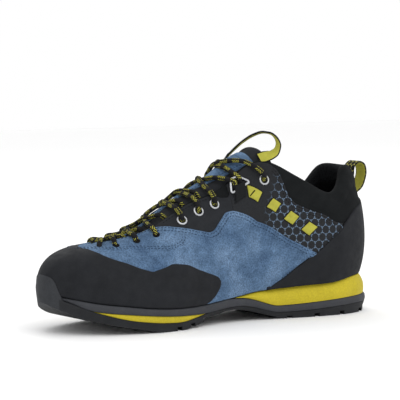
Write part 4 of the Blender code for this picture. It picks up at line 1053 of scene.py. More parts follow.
def make_materials():
    """All the materials, by name."""
    materials = {key: plain_material(*values) for key, *values in PLAIN_MATERIALS}
    materials.update({
        "suede": suede_material(),
        "lining": knit_material("lining mesh", (0.0060, 0.0065, 0.0075), 1.6, 0.3),
        "footbed": knit_material("footbed cloth", (0.020, 0.020, 0.022), 1.1, 0.15),
        "flap": flap_material(),
        "webbing": webbing_material("webbing yellow", (0.46, 0.44, 0.065)),
        "webbing black": webbing_material("webbing black", (0.012, 0.013, 0.014), True),
        "tab black": webbing_material("tab black", (0.012, 0.013, 0.014)),
        "lace": lace_material(),
        "metal": metal_material(),
    })
    return materials


def sole_surface(name, lower=0.0):
    """The height of a sole surface against s, lowered by a gap."""
    return lambda s: sole_height[name](s) - lower


def make_sole_layer(name, s_range, top, bottom, side, material, tuck=0.0, lean=0.0):
    """A layer of the sole between two height curves, with the given side."""
    first, last = row_at(s_range[0]), row_at(s_range[1])
    step = np.arange(0, TOE_ROW, 0.08)
    inside = step[(step > first + 0.04) & (step < last - 0.04)]
    rows = np.concatenate([[first], inside, [last]])
    downs, insets = zip(*side)
    fine = np.linspace(0, 1, 15)
    inset_at = blur(np.interp(fine, downs, insets), 3)
    at_heel = 1 - smooth_step(0.0, LEAN_TO_S, outline_s(rows))
    halves = []
    for around in (rows, LOOP_ROWS - rows):
        pull = tuck * smooth_step(*TUCK_S, outline_s(rows))
        edge = []
        for down, inset in zip(fine, inset_at):
            s, y = outline_point(around, inset + pull + lean * (1 - 0.65 * down) * at_heel)
            high, low = top(s), bottom(s)
            edge.append(np.stack([s, y, high + (low - high) * down], -1))
        halves.append(np.stack(edge, 1))
    profiles = np.concatenate([halves[0], halves[1][:, ::-1]], 1)
    points, faces, uv = loft(profiles)
    return add_piece(name + "_form", points, faces, material, (name,), uv, smooth=50.0)


def lug_rows():
    """The outsole's rows: their s, and whether the strip after each has edge and inner lugs."""
    strips = [(s, 0, 0) for s in HEEL_STRIPS_S]
    for (start, end), edge_lugs in ((HEEL_LUGS_S, HEEL_EDGE_LUG), (FORE_LUGS_S, FORE_EDGE_LUG)):
        count = int(round((end - start) / LUG_ROW))
        pitch = (end - start) / count
        for i in range(count):
            s = start + i * pitch
            edge = 1 if s > EDGE_BAND_FROM_S else edge_lugs[i % len(edge_lugs)]
            for part in range(STRIP_PARTS):
                strips.append((s + pitch * part / STRIP_PARTS, edge, INNER_LUG[i % 3]))
        if start == HEEL_LUGS_S[0]:
            strips += [(s, 0, 0) for s in np.linspace(end, FORE_LUGS_S[0], ARCH_STRIPS + 1)[:-1]]
    strips += [(s, 0, 0) for s in TOE_STRIPS_S]
    return strips


def outsole_side(around):
    """The outsole's edge at one row, from its top inside the toe lip down to where the lugs start."""
    s_edge = outline_s(around)
    rise = np.interp(s_edge, *zip(*LIP_RISE))
    top_s, top_y = outline_point(around, OUTSOLE_EDGE)
    top_z = sole_height["insert_bottom"](top_s) - GAP
    top = (top_s, top_y, top_z)
    inner = lip_low = lip_in = lip_out = middle_out = top
    if rise > 0:
        vs = np.linspace(0.0, LIP_TO_V, FINE_STEPS)
        heights = upper_point(around, vs)[:, 2]
        v_top = np.interp(heights[0] + rise, heights, vs)
        in_s, in_y = outline_point(around, foot_inset(around) - LIP_INNER)
        inner = (in_s, in_y, sole_height["insert_bottom"](in_s) - GAP)
        lip_low = tuple(upper_layer(around, v_top * LIP_LOW_SHARE, LIP_INNER))
        lip_in = tuple(upper_layer(around, v_top, LIP_INNER))
        lip_out = tuple(upper_layer(around, v_top, LIP_INNER + LIP_TOP_THICKNESS))
        middle_out = tuple(upper_layer(around, v_top * LIP_MIDDLE_SHARE, LIP_INNER + LIP_THICKNESS))
        out_s, out_y = outline_point(around, -LIP_OUT)
        top = (out_s, out_y, top_z)
    base_s, base_y = outline_point(around, OUTSOLE_FOOT)
    base_z, tread_z = tread_heights(base_s)
    side = [inner, lip_low, lip_in, lip_out, middle_out, top]
    return side, (base_s, base_y, base_z), (base_s, base_y, tread_z)


def tread_heights(s):
    """The heights of the slab's underside and of the lugs' faces."""
    tread = np.maximum(sole_height["tread"](s), 0.0)
    top = sole_height["insert_bottom"](s) - GAP
    lug = np.clip(top - tread - SLAB, 0.0, LUG_DEPTH)
    lug = lug * (1 - smooth_step(FORE_LUGS_S[1] - LUG_FADE, FORE_LUGS_S[1], s))
    return tread + lug, tread


def is_lug(strips, i, cell):
    """Whether one cell of the tread is a lug."""
    if not 0 <= i < len(strips) or not 0 <= cell < len(LUG_LINES) - 1 or cell % 2:
        return False
    at_edge = cell in (0, len(LUG_LINES) - 2)
    return bool(strips[i][1] if at_edge else strips[i][2])


def lug_polygons(strips, sections, i):
    """The underside of one strip of the outsole: lug faces, grooves, and the walls between them."""
    base, tread = sections[i][2:]
    next_base, next_tread = sections[i + 1][2:]
    polygons = []
    for cell in range(len(LUG_LINES) - 1):
        lug = is_lug(strips, i, cell)
        low, next_low = (tread, next_tread) if lug else (base, next_base)
        polygons.append((low[cell], low[cell + 1], next_low[cell + 1], next_low[cell]))
        if lug:
            for line, beside in ((cell, cell - 1), (cell + 1, cell + 1)):
                if not is_lug(strips, i, beside):
                    polygons.append((base[line], next_base[line], next_tread[line], tread[line]))
            if not is_lug(strips, i - 1, cell):
                polygons.append((base[cell], base[cell + 1], tread[cell + 1], tread[cell]))
            if not is_lug(strips, i + 1, cell):
                polygons.append((next_base[cell], next_base[cell + 1],
                                 next_tread[cell + 1], next_tread[cell]))
    return polygons


def make_outsole(materials):
    """The rubber outsole with its lugs and toe lip, the lip in its own rubber."""
    strips = lug_rows()
    rows = [row_at(strip[0]) for strip in strips]
    rows[-1] = TOE_ROW
    sections = []
    for row in rows:
        near, near_base, near_tread = outsole_side(row)
        far, far_base, far_tread = outsole_side(LOOP_ROWS - row)
        across = [(line + 1) / 2 for line in LUG_LINES]
        base = [tuple(a + (b - a) * t for a, b in zip(near_base, far_base)) for t in across]
        tread = [tuple(a + (b - a) * t for a, b in zip(near_tread, far_tread)) for t in across]
        sections.append((near, far, base, tread))
    polygons = []
    for i in range(len(sections) - 1):
        near, far, base, tread = sections[i]
        next_near, next_far, next_base, next_tread = sections[i + 1]
        polygons.append((near[0], next_near[0], next_far[0], far[0]))
        for side, next_side, line in ((near, next_near, 0), (far, next_far, -1)):
            edge = list(side) + [base[line]]
            next_edge = list(next_side) + [next_base[line]]
            for j in range(len(edge) - 1):
                polygons.append((edge[j], next_edge[j], next_edge[j + 1], edge[j + 1]))
        polygons += lug_polygons(strips, sections, i)
    index, points, faces = {}, [], []
    for polygon in polygons:
        corners = []
        for corner in polygon:
            key = tuple(round(float(value), 3) for value in corner)
            if key not in index:
                index[key] = len(points)
                points.append(key)
            if index[key] not in corners:
                corners.append(index[key])
        if len(corners) > 2:
            faces.append(corners)
    centres = np.array([np.mean([points[k] for k in face], axis=0) for face in faces])
    bumper = (centres[:, 0] > BUMPER_FROM_S).astype(int)
    item = add_piece("outsole_form", points, faces, [materials["outsole"], materials["bumper"]],
                     ("outsole",), face_slots=bumper, smooth=35.0)
    soften = item.modifiers.new("worn edges", "BEVEL")
    soften.width = 0.4 * MM
    soften.segments = 2
    soften.limit_method = "ANGLE"
    soften.angle_limit = math.radians(40)
    return item


def make_insole(material):
    """The footbed, cupped at its edges."""
    rows = np.concatenate([[0.3], np.arange(0.6, 17.41, 0.2), [17.65]])
    share = np.linspace(0, 1, 25)
    halves = []
    for around in (rows, LOOP_ROWS - rows):
        s, y = outline_point(around, foot_inset(around) + WALL + INSOLE_CLEAR)
        halves.append(np.stack([s, y, sole_height["foot"](s)], -1))
    floor = halves[0][:, None] + (halves[1] - halves[0])[:, None] * share[None, :, None]
    cup = INSOLE_MIDDLE + (INSOLE_EDGE - INSOLE_MIDDLE) * np.abs(2 * share - 1) ** 3
    top = floor.copy()
    top[..., 2] += cup
    points, faces, uv = loft(np.concatenate([top, floor[:, ::-1]], 1))
    return add_piece("insole_form", points, faces, material, ("insole",), uv, smooth=50.0)


def make_upper_shell(materials):
    """The upper's shell: its fabric outside and its lining inside, open at the collar, throat and foot."""
    rows = np.arange(0, LOOP_ROWS, 0.1)
    outer_v = np.linspace(0, 1, 61)
    inner_v = np.linspace(0.985, 0, 50)
    outer = upper_point(rows[:, None], outer_v)
    thick = wall_thickness(rows, 1.0)
    rise = unit(upper_point(rows, 1.0) - upper_point(rows, 0.97))
    rim = []
    for turn in np.linspace(0.2, 0.8, 4) * np.pi:
        depth = thick * (1 - math.cos(turn)) / 2
        rim.append(upper_layer(rows, 1.0, -depth) + rise * (thick * 0.25 * math.sin(turn))[:, None])
    grid_rows, grid_v = np.broadcast_arrays(rows[:, None], inner_v)
    inner = upper_layer(grid_rows, grid_v, -wall_thickness(grid_rows, grid_v))
    profiles = np.concatenate([outer, np.stack(rim, 1), inner], 1)
    points, faces, uv = loft(profiles, wrap=True)
    slots = np.zeros(profiles.shape[1], int)
    slots[len(outer_v) + 1:] = 1
    return add_piece("upper_shell", points, faces, [materials["softshell"], materials["lining"]],
                     ("upper",), uv, np.tile(slots, len(rows)))


def make_collar_pad(materials):
    """The padded collar: crowned outside, rolled over its rim, and down into the shoe to a sewn channel."""
    rows = dense_rows(-COLLAR_PAD_ROWS, COLLAR_PAD_ROWS, 0.1, 3.0)
    from_end = np.clip((COLLAR_PAD_ROWS - np.abs(rows)) / 1.2, 0, 1)
    ease = round_edge(from_end)
    outer_v = np.linspace(PAD_FROM_V, 1, 18)
    swell = 0.15 + 1.5 * np.sin(np.pi * (outer_v - PAD_FROM_V) / (1 - PAD_FROM_V) * 0.86)
    outer = upper_layer(rows[:, None] + 0 * outer_v, outer_v + 0 * rows[:, None], ease[:, None] * swell)
    thick = wall_thickness(rows, 1.0)
    rise = unit(upper_point(rows, 1.0) - upper_point(rows, 0.97))
    edge = swell[-1]
    rim = []
    for turn in np.linspace(0.1, 0.9, 9) * np.pi:
        depth = -edge * ease + (thick + edge * ease) * (1 - math.cos(turn)) / 2
        over = (thick * 0.25 + 0.9 * ease) * math.sin(turn)
        rim.append(upper_layer(rows, 1.0, -depth) + rise * over[:, None])
    inner_v = np.linspace(0.985, PAD_INSIDE_V, 26)
    grid_rows, grid_v = np.broadcast_arrays(rows[:, None], inner_v)
    down = (1 - grid_v) / (1 - PAD_INSIDE_V)
    crown = 0.3 + 1.0 * np.abs(np.sin(np.pi * np.clip(down * 1.6, 0, 1.6))) * (down < 0.95)
    inner = upper_layer(grid_rows, grid_v, -wall_thickness(grid_rows, grid_v) - crown * ease[:, None])
    back = upper_layer(grid_rows, grid_v, -wall_thickness(grid_rows, grid_v) * 0.6)[:, ::-1]
    front_v = outer_v[:4]
    close = upper_layer(rows[:, None] + 0 * front_v, front_v + 0 * rows[:, None], -0.5)[:, ::-1]
    profiles = np.concatenate([outer, np.stack(rim, 1), inner, back, close], 1)
    points, faces, uv = loft(profiles)
    slots = np.ones(profiles.shape[1], int)
    slots[:len(outer_v) + 5] = 0
    item = add_piece("collar_pad", points, faces, [materials["softshell"], materials["lining"]],
                     (), uv, loft_slots(slots, len(rows), 1))
    return item


border = smooth_edge(SUEDE_BORDER + HEEL_RAND_TOP[3:])
collar_line = smooth_edge(COLLAR_BORDER)
seam_line = smooth_edge(FACING_SEAM, 7)
toe_top = smooth_edge(TOE_RAND_TOP, 21)
toe_rear = smooth_edge(TOE_RAND_REAR, 9)
heel_side_top = smooth_edge(HEEL_RAND_TOP)
SUEDE_REAR_ROW = row_of((67.5, 50.8))
BORDER_LAST_ROW = row_of(SUEDE_BORDER[0])
RAND_FIRST_ROW = row_of(TOE_RAND_TOP[0])
FACING_FIRST_ROW = row_of(FACING_SEAM[0])


def suede_high(row):
    """The suede's top edge: its border at the side, and the throat in front."""
    near = from_heel(row)
    return np.where(near < BORDER_LAST_ROW, np.minimum(border(near), TOP_V), TOP_V)


def heel_top(row):
    """The heel rand's top edge."""
    heel_vs = np.linspace(0, 1, 101)
    back_v = np.interp(HEEL_RAND_BACK_Z, upper_point(0.0, heel_vs)[:, 2], heel_vs)
    side_row = row_of(HEEL_RAND_TOP[-1])
    near = from_heel(row)
    side_v = heel_side_top(near)
    at_back = 1 - smooth_step(0.0, side_row, near)
    return np.maximum(side_v + (back_v - side_v) * at_back, 0.03)


def undulation(row, v):
    """Soft hollows and creases that the suede takes on the last, in millimetres."""
    waves = np.sin(row * 2.3 + v * 5.0) * np.sin(v * 9.0 + row * 0.9) * 0.22
    s = outline_s(row)
    crease = 0.0
    for at, slope, depth, width in CREASES:
        beside = (s + slope * v - at - CREASE_SHIFT) / width
        crease = crease + depth * np.exp(-(beside**2)) * np.sin(np.pi * v) ** 0.7
    return waves + crease


def make_suede_vamp(materials):
    """The suede over the whole foot, with a fold along its border."""
    rows = dense_rows(SUEDE_REAR_ROW, LOOP_ROWS - SUEDE_REAR_ROW, FINE_ROW_STEP)

    def relief(row, v, from_high):
        near = from_heel(row)
        lap = 1 - smooth_step(BORDER_LAST_ROW - 0.5, BORDER_LAST_ROW + 0.3, near)
        return undulation(row, v) + lap * 1.25 * (1 - smooth_step(4.0, 9.0, from_high))

    return make_sheet("suede_vamp", rows, lambda row: FOOT_V, suede_high, 0.15, 1.0, materials["suede"],
                      110, 0.8, relief)


def make_suede_facing(materials):
    """The second layer of suede round the throat."""
    rows = dense_rows(FACING_FIRST_ROW, LOOP_ROWS - FACING_FIRST_ROW, FINE_ROW_STEP, 0.8)

    def base(row, v):
        under_rand = smooth_step(0.0, 0.04, rand_high(row) - v)
        return 0.95 + undulation(row, v) - 0.8 * under_rand

    return make_sheet("suede_facing", rows, seam_line, lambda row: suede_high(row) - 0.004, base, 0.75,
                      materials["suede"], 40, 0.8)


def eyestay_high(row):
    """The eyestay's top edge."""
    rows, vs = zip(*EYESTAY_TOP)
    fine = np.arange(rows[0], rows[-1], CURVE_STEP)
    return np.minimum(np.interp(from_heel(row), fine, blur(np.interp(fine, rows, vs), 21)), 0.99)


def make_side_panels(side, label, materials):
    """The eyestay and the ankle flap of one side."""
    collar_row = row_of(COLLAR_BORDER[0])

    def low(row):
        return np.minimum(border(row), 0.95) - 0.03

    def high(row):
        return np.maximum(np.where(from_heel(row) > collar_row, 0.99, collar_line(row)), low(row) + 0.02)

    rows = on_side(side, dense_rows(FLAP_FRONT_ROW - 0.12, EYESTAY_FRONT_ROW))[::-side]
    make_sheet("eyestay_panel_" + label, rows, low, eyestay_high, 0.3, 0.85, materials["microfibre"],
               50, 0.8, replaces=("eyestay_" + label,))
    rows = on_side(side, dense_rows(row_of(FLAP_REAR), FLAP_FRONT_ROW))[::-side]
    make_sheet("flap_panel_" + label, rows, low, high, 0.75, 0.85, materials["flap"], 60, 0.8,
               replaces=("flap_" + label,))


def rand_high(row):
    """The toe rand's top, which rises a little over the toe towards the lateral side."""
    from_peak = (np.asarray(row, float) - RAND_PEAK_ROW) / RAND_PEAK_ROWS
    return toe_top(row) + RAND_OVER_TOE * np.exp(-(from_peak**2))


def heel_rand_base(row, v):
    """The heel rand lies flat on the heel and rises over the suede and the flap at its sides."""
    return 0.2 + 1.25 * smooth_step(2.0, 4.4, from_heel(row))


def make_rands(materials):
    """The rubber rands round the toe and the heel."""
    rear_row = row_of(TOE_RAND_REAR[-1])

    def toe_low(row):
        return np.maximum(np.where(from_heel(row) < rear_row, toe_rear(row), 0.0), FOOT_V)

    rows = dense_rows(RAND_FIRST_ROW, LOOP_ROWS - RAND_FIRST_ROW, FINE_ROW_STEP)
    make_sheet("toe_rand_form", rows, toe_low, rand_high, 0.6, 1.15, materials["rand"], 60, 1.2,
               replaces=("toe_rand",))
    front = row_of(HEEL_RAND_TOP[0])
    rows = dense_rows(-front, front, FINE_ROW_STEP)
    make_sheet("heel_rand_form", rows, lambda row: FOOT_V, heel_top, heel_rand_base, 1.1, materials["rand"],
               60, 1.2, replaces=("heel_rand",))


def throat_edges(row):
    """Both edges of the throat at a row."""
    return upper_point(row, 1.0), upper_point(LOOP_ROWS - row, 1.0)


def bridge_point(row, across, lift):
    """A point over the throat: across runs from the medial edge (-1) to the lateral edge (1)."""
    medial, lateral = throat_edges(row)
    middle = medial + (lateral - medial) * (across + 1) / 2
    return middle + LIFT_AXIS * lift * (1 - across * across)


def grid_normals(grid):
    """Directions square to a grid of points, from its rows and columns."""
    return unit(np.cross(np.gradient(grid, axis=1), np.gradient(grid, axis=0)))


def tongue_section(row):
    """The tongue's upper face under the throat at one row, from wing to wing."""
    points = []
    wing_row = min(row, TONGUE_TURN_ROW + (row - TONGUE_TURN_ROW) * TONGUE_TURN)
    for at_wing, at_edge in ((wing_row, row), (LOOP_ROWS - wing_row, LOOP_ROWS - row)):
        for around, v in ((at_wing, TONGUE_WING_V), (at_edge, 0.99)):
            depth = wall_thickness(around, v) + TONGUE_CLEAR
            points.append(upper_layer(around, v, -depth))
    wing_near, edge_near, wing_far, edge_far = points
    crown = bridge_point(row, 0.0, crown_lift(row))
    swell = LIFT_AXIS * 0.25 * max(crown_lift(row), 0.0)
    near, far = ((edge + crown) / 2 + swell for edge in (edge_near, edge_far))
    return [wing_near, edge_near, near, crown, far, edge_far, wing_far]


def tongue_top_section(entry):
    """The tongue's free end above the throat."""
    s, edge_s, medial, lateral, wing_z, edge_z, crown_z, _ = entry[1:]
    middle = (medial + lateral) / 2
    shoulder_s = edge_s + SHOULDER_RISE * (s - edge_s)
    shoulder_z = edge_z + SHOULDER_RISE * (crown_z - edge_z)
    shoulders = [middle + (edge - middle) * SHOULDER_SPREAD for edge in (medial, lateral)]
    wing_s = edge_s - WING_SPREAD
    return [
        (wing_s, medial - WING_SPREAD, wing_z), (edge_s, medial, edge_z),
        (shoulder_s, shoulders[0], shoulder_z), (s, middle, crown_z),
        (shoulder_s, shoulders[1], shoulder_z), (edge_s, lateral, edge_z),
        (wing_s, lateral + WING_SPREAD, wing_z),
    ]


def refine(grid, count):
    """A grid with more points along its first axis, on smooth curves through the given ones."""
    steps = np.arange(len(grid), dtype=float)
    where = np.linspace(0, len(grid) - 1, count)
    slopes = np.gradient(grid, axis=0)
    i = np.clip(where.astype(int), 0, len(grid) - 2)
    t = (where - steps[i]).reshape((-1,) + (1,) * (grid.ndim - 1))
    start = (1 + 2 * t) * (1 - t) ** 2 * grid[i] + t * (1 - t) ** 2 * slopes[i]
    end = t * t * (3 - 2 * t) * grid[i + 1] + t * t * (t - 1) * slopes[i + 1]
    return start + end


def tongue_face():
    """A fine grid of the tongue's outer face and its thickness, from the free end to the front."""
    rows = np.concatenate([np.arange(8.6, 12.0, 0.8), np.arange(12.5, 17.1, 1.1)])
    front = [upper_layer(row, TONGUE_FRONT_V, -WALL - TONGUE_FRONT_CLEAR) for row in TONGUE_FRONT_ROWS]
    face = [tongue_top_section(entry) for entry in TONGUE_TOP]
    face += [tongue_section(row) for row in rows]
    face.append(front)
    face = np.array(face, float)
    thick = np.array([entry[-1] for entry in TONGUE_TOP] + [TONGUE_THICK] * (len(face) - len(TONGUE_TOP)))
    fine = refine(face, 121)
    fine = refine(fine.transpose(1, 0, 2), 61).transpose(1, 0, 2)
    return fine, refine(thick[:, None], 121)[:, 0]


def make_tongue(materials):
    """The tongue: its pad, with a channel across it, and the suede in front of that."""
    face, thick = tongue_face()
    normals = -grid_normals(face)
    lengths = polyline_lengths(face[:, 30])
    widths = polyline_lengths(face)
    from_side = np.minimum(widths, widths[:, -1:] - widths)
    rim = np.minimum(np.clip(from_side / 2.5, 0, 1), np.clip(lengths / 3.0, 0, 1)[:, None])
    round_off = round_edge(rim)
    crown = 0.9 * np.exp(-((lengths - 6.0) / 4.5) ** 2)[:, None] * np.clip(from_side / 6, 0, 1)
    channel = -0.5 * np.exp(-((lengths - TONGUE_PAD_LENGTH) / 1.3) ** 2)[:, None]
    outer = face + normals * ((crown + channel) * round_off - (1 - round_off) * TONGUE_EDGE)[..., None]
    inner = face - normals * (TONGUE_EDGE + (thick[:, None] - TONGUE_EDGE) * round_off)[..., None]
    points, faces, uv = loft(np.concatenate([outer, inner[:, ::-1]], 1))
    slots = np.repeat([0, 1], outer.shape[1])
    item = add_piece("tongue_pad", points, faces, [materials["microfibre"], materials["lining"]],
                     ("tongue",), uv, loft_slots(slots, len(face), 0))
    make_tongue_suede(face, normals, lengths, materials)


def make_tongue_suede(face, normals, lengths, materials):
    """The suede on the tongue in front of its pad, with its stitches."""
    first = int(np.searchsorted(lengths, TONGUE_PAD_LENGTH + 0.5))
    strip = slice(first, len(face))
    near_reach = np.interp(lengths[strip], SUEDE_REACH_AT, SUEDE_REACH_MEDIAL)[:, None]
    far_reach = np.interp(lengths[strip], SUEDE_REACH_AT, SUEDE_REACH_LATERAL)[:, None]
    share = np.linspace(-1, 1, 50)
    columns = 30 + np.where(share < 0, near_reach, far_reach) * 22 * share
    base, lift = face[strip], normals[strip]
    whole = np.clip(columns.astype(int), 0, face.shape[1] - 2)
    part = (columns - whole)[..., None]
    pick = np.arange(len(base))[:, None]
    centre = base[pick, whole] * (1 - part) + base[pick, whole + 1] * part
    normal = lift[pick, whole] * (1 - part) + lift[pick, whole + 1] * part
    from_side = np.clip((1 - np.abs(share)) * 12, 0, 1)
    from_end = np.clip((lengths[strip] - lengths[first]) / 1.2, 0, 1)
    height = round_edge(from_side) * round_edge(from_end)[:, None]
    top = centre + normal * (0.25 + 0.75 * height)[..., None]
    bottom = centre - normal * 0.3
    points, faces, uv = loft(np.concatenate([top, bottom[:, ::-1]], 1))
    add_piece("tongue_suede", points, faces, materials["suede"], (), uv)
    seams = ((3, slice(2, -2)), (slice(4, 60), 4), (slice(4, 60), -5))
    curves = [(top[seam] + normal[seam] * 0.15, normal[seam]) for seam in seams]
    make_stitches("tongue_stitches", curves, materials["dark thread"])


def station_place(index):
    """The row and v of a lace hole on the medial side."""
    _, s, z = STATIONS[index]
    if index in [station for station, _ in EYELET_STATIONS]:
        s, z = s + EYELET_SHIFT[0], z + EYELET_SHIFT[1]
    return medial_place(s, z)


def over_edge(side):
    """How far the lace's middle lies off the throat's edge, where it is drawn tight on the lateral side."""
    return OVER_EDGE - LATERAL_SINK if side > 0 else OVER_EDGE


def beside_edge(side, row):
    """The lace's place where it runs over the throat's edge."""
    around = on_side(side, row)
    away = unit(LIFT_AXIS + upper_normal(around, 1.0))
    return upper_point(around, 1.0) + away * over_edge(side)


def strand_points(side, station):
    """The lace from over one throat edge, across the tongue, to the opposite edge at the next hole."""
    start, _ = station_place(station)
    end, _ = station_place(station + 1)
    outside = station + 1 in (RING_STATION, TOP_STATION)
    over_tongue = LACE_RADIUS + 0.4
    above = 1.4 if (station % 2 == 0) == (side > 0) else -0.6
    route = [beside_edge(side, start)]
    for across in (0.85, 0.5, 0.15, 0.0, -0.15, -0.4, -0.72):
        share = np.interp(across, (-1, 0, 1), (EDGE_SHARE[station], CROSS_SHARE[station], 0))
        row = start + (end - start) * share
        over = over_tongue + above * math.exp(-(across / 0.3) ** 2)
        if across > 0 or outside:
            over += (over_edge(side if across > 0 else -side) - over_tongue) * across * across
        route.append(bridge_point(row, across * side, crown_lift(row)) + LIFT_AXIS * over)
    far = start + (end - start) * EDGE_SHARE[station]
    route.append(beside_edge(-side, far) if outside else upper_layer(on_side(-side, far), 1.0, UNDER_WALL))
    return route


def layers(places):
    """Points off the upper, from rows, v and distances."""
    return [upper_layer(*place) for place in places]


def lace_points(side):
    """One half of the lace, from the middle of its bar up to the top eyelet."""
    bar_row = on_side(side, BAR_ROW)
    hole_v = BAR_HOLE_V if side < 0 else BAR_FAR_HOLE_V
    route = [bridge_point(BAR_ROW, 0.0, 0.0) + LIFT_AXIS * (LACE_RADIUS + 0.6),
             bridge_point(BAR_ROW, 0.5 * side, 0.0) + LIFT_AXIS * (LACE_RADIUS + 0.8)]
    route += layers(((bar_row, 0.99, OVER_EDGE + 0.1), (bar_row, hole_v + 0.03, OVER_EDGE - 0.4),
                     (bar_row, hole_v, 0.4), (bar_row, hole_v, UNDER_WALL)))
    for station in range(len(STATIONS)):
        place, v = station_place(station)
        row = on_side(side, place)
        if station == TOP_STATION:
            route += layers(((row, v + 0.012, OVER_EDGE - 0.2), (row, v, 0.6), (row, v, -3.0)))
            break
        if station == RING_STATION:
            before, after = row - 0.14 * side, row + 0.14 * side
            route += layers(((before, v + 0.03, OVER_EDGE + 1.0), (before, v - 0.02, OVER_EDGE - 1.2),
                             (after, v - 0.02, OVER_EDGE - 1.4), (after, v + 0.03, OVER_EDGE + 0.6)))
        else:
            if station > 0:
                route.append(upper_layer(row, (v + 1) / 2 + 0.01, UNDER_WALL))
            route += layers(((row, v - 0.004, -3.0), (row, v, 0.6), (row, v + 0.014, OVER_EDGE - 0.2)))
        route += strand_points(side, station)
        side = -side
    return route


def make_laces(materials):
    """Both halves of the lace."""
    crossings = ["lace_bar"] + ["lace_cross_%d" % (k + 1) for k in range(len(STATIONS) - 1)]
    for side, label in SIDES:
        points = lace_points(side)
        count = int(polyline_lengths(np.array(points))[-1] / 0.75)
        route = smooth_route(points, count)
        make_tube("lace_from_" + label, route, LACE_RADIUS * 1.06, LACE_RADIUS * 0.94, 14, materials["lace"],
                  replaces=crossings if side < 0 else ())


def local_frame(side, s, z, off):
    """A place off the upper's side, with its directions forward, up and out."""
    row, v = medial_place(s, z)
    row = on_side(side, row)
    out = upper_normal(row, v)
    place = upper_layer(row, v, off)
    up = unit(np.array((0.0, 0.0, 1.0)) - out * out[2])
    forward = np.cross(out, up)
    return place, forward * np.sign(forward[0]), up, out


def make_eyelet(name, side, s, z, off, materials, replaces):
    """A flanged ring pressed round a hole."""
    place, forward, up, out = local_frame(side, s, z, off)
    cosines, sines = circle(48)
    around = forward * cosines + up * sines
    profiles = np.stack([place + around * radius + out * height for radius, height in EYELET_PROFILE], 1)
    points, faces, uv = loft(profiles, wrap=True)
    add_piece(name, points, faces, materials["metal"], replaces, uv, smooth=60.0)


def make_hole_shade_disc(name, side, s, z, off, radius, material):
    """A small raised disc, dark with painted shade, that shows as the inside of a hole."""
    place, forward, up, out = local_frame(side, s, z, off)
    cosines, sines = circle(24)
    around = forward * cosines + up * sines
    profiles = np.stack([place - out * 0.5 + around * 0.01, place - out * 0.5 + around * radius,
                         place + around * radius, place + around * 0.01], 1)
    points, faces, uv = loft(profiles, wrap=True)
    add_piece(name, points, faces, material, (), uv)


def make_hardware(side, label, materials):
    """The eyelets, the painted shade inside the holes and the lace ring of one side."""
    for station, mark in EYELET_STATIONS:
        _, s, z = STATIONS[station]
        s, z = s + EYELET_SHIFT[0], z + EYELET_SHIFT[1]
        off = 1.7 if mark == "top" else 1.25
        mark += "_" + label
        make_eyelet("eyelet_ring_" + mark, side, s, z, off, materials, ("eyelet_" + mark,))
        # A dark disc in each eyelet: painted shade inside its hole.
        make_hole_shade_disc("eyelet_hole_shade_" + mark, side, s, z, off + 0.10, 2.9, materials["hole"])
    # Dark discs in the plain lace holes: painted shade inside them.
    for number, (_, s, z) in enumerate(STATIONS[:3]):
        make_hole_shade_disc("lace_hole_shade_%d_%s" % (number + 1, label), side, s, z - 0.6, 1.95, 2.7, materials["hole"])
    _, s, z = STATIONS[RING_STATION]
    place, forward, up, out = local_frame(side, s, z, 3.2)
    corners = np.array([place + forward * a + up * b for a, b in RING_OUTLINE])
    closed = np.concatenate([corners[-3:], corners, corners[:3]])
    fine = refine(closed, 12 * len(closed))
    steps = np.linspace(0, len(closed) - 1, len(fine))
    route = fine[(steps >= 3) & (steps < 3 + len(corners))]
    before, after = np.roll(route, 1, 0), np.roll(route, -1, 0)
    beside = np.cross(unit(after - before), out)
    rings = oval_rings(beside, np.broadcast_to(out, beside.shape), RING_WIRE, RING_WIRE, 10)
    points, faces, uv = loft(route[:, None] + rings, wrap=True)
    add_piece("lace_ring_wire_" + label, points, faces, materials["metal"],
              ("lace_ring_" + label,), uv, smooth=60.0)


def make_patch(name, side, corners, base, thick, material, replaces=(), edge=0.6, lift=0.0):
    """A small flat patch over the upper, its four corners given by s and z."""
    places = np.array([medial_place(s, z) for s, z in corners])
    t = np.concatenate([[0, 0.02, 0.06], np.linspace(0.12, 0.88, 12), [0.94, 0.98, 1.0]])
    first = places[0] + (places[1] - places[0]) * t[:, None]
    last = places[3] + (places[2] - places[3]) * t[:, None]
    grid = first[:, None] + (last - first)[:, None] * t[None, :, None]
    rows, vs = on_side(side, grid[..., 0]), grid[..., 1]
    face = upper_point(rows, vs)
    size = np.linalg.norm(face[0, -1] - face[0, 0])
    height = round_edge(np.clip(np.minimum(t, 1 - t) * size / edge, 0, 1))
    under = np.broadcast_to(base + lift * (1 - t) ** 2, rows.shape)
    outer = upper_layer(rows, vs, under + thick * height[:, None] * height)
    inner = upper_layer(rows, vs, under - 0.4)
    across = polyline_lengths(face[8])
    points, faces, uv = loft(np.concatenate([outer, inner[:, ::-1]], 1), u=polyline_lengths(face[:, 8]),
                             v=np.concatenate([across, across[::-1], [0.0]]))
    return add_piece(name, points, faces, material, replaces, uv)


def make_straps(side, label, materials):
    """The short lengths of strap that show between the flap's slits, with painted shade in the slits."""
    for number, corners in enumerate(STRAP_CORNERS):
        middle = np.mean(corners, axis=0)
        grown = [tuple(middle + (np.array(corner) - middle) * 1.16) for corner in corners]
        mark = "%d_%s" % (number + 1, label)
        # A larger dark patch under each strap: painted shade in the slits round it.
        make_patch("strap_slit_shade_" + mark, side, grown, 1.55, 0.35, materials["black thread"])
        make_patch("strap_web_" + mark, side, corners, 1.75, 0.75, materials["webbing"],
                   ("strap_" + mark,), 0.9)
    make_patch("ring_tab_" + label, side, TAB_CORNERS, 1.7, 1.2,
               materials["tab black"], edge=0.9, lift=3.6)
    # A thin patch in the hole colour: painted shade in a narrow slit.
    make_patch("strap_cut_shade_" + label, side, SLIT_CORNERS, 2.3, 0.35, materials["hole"], edge=0.2)


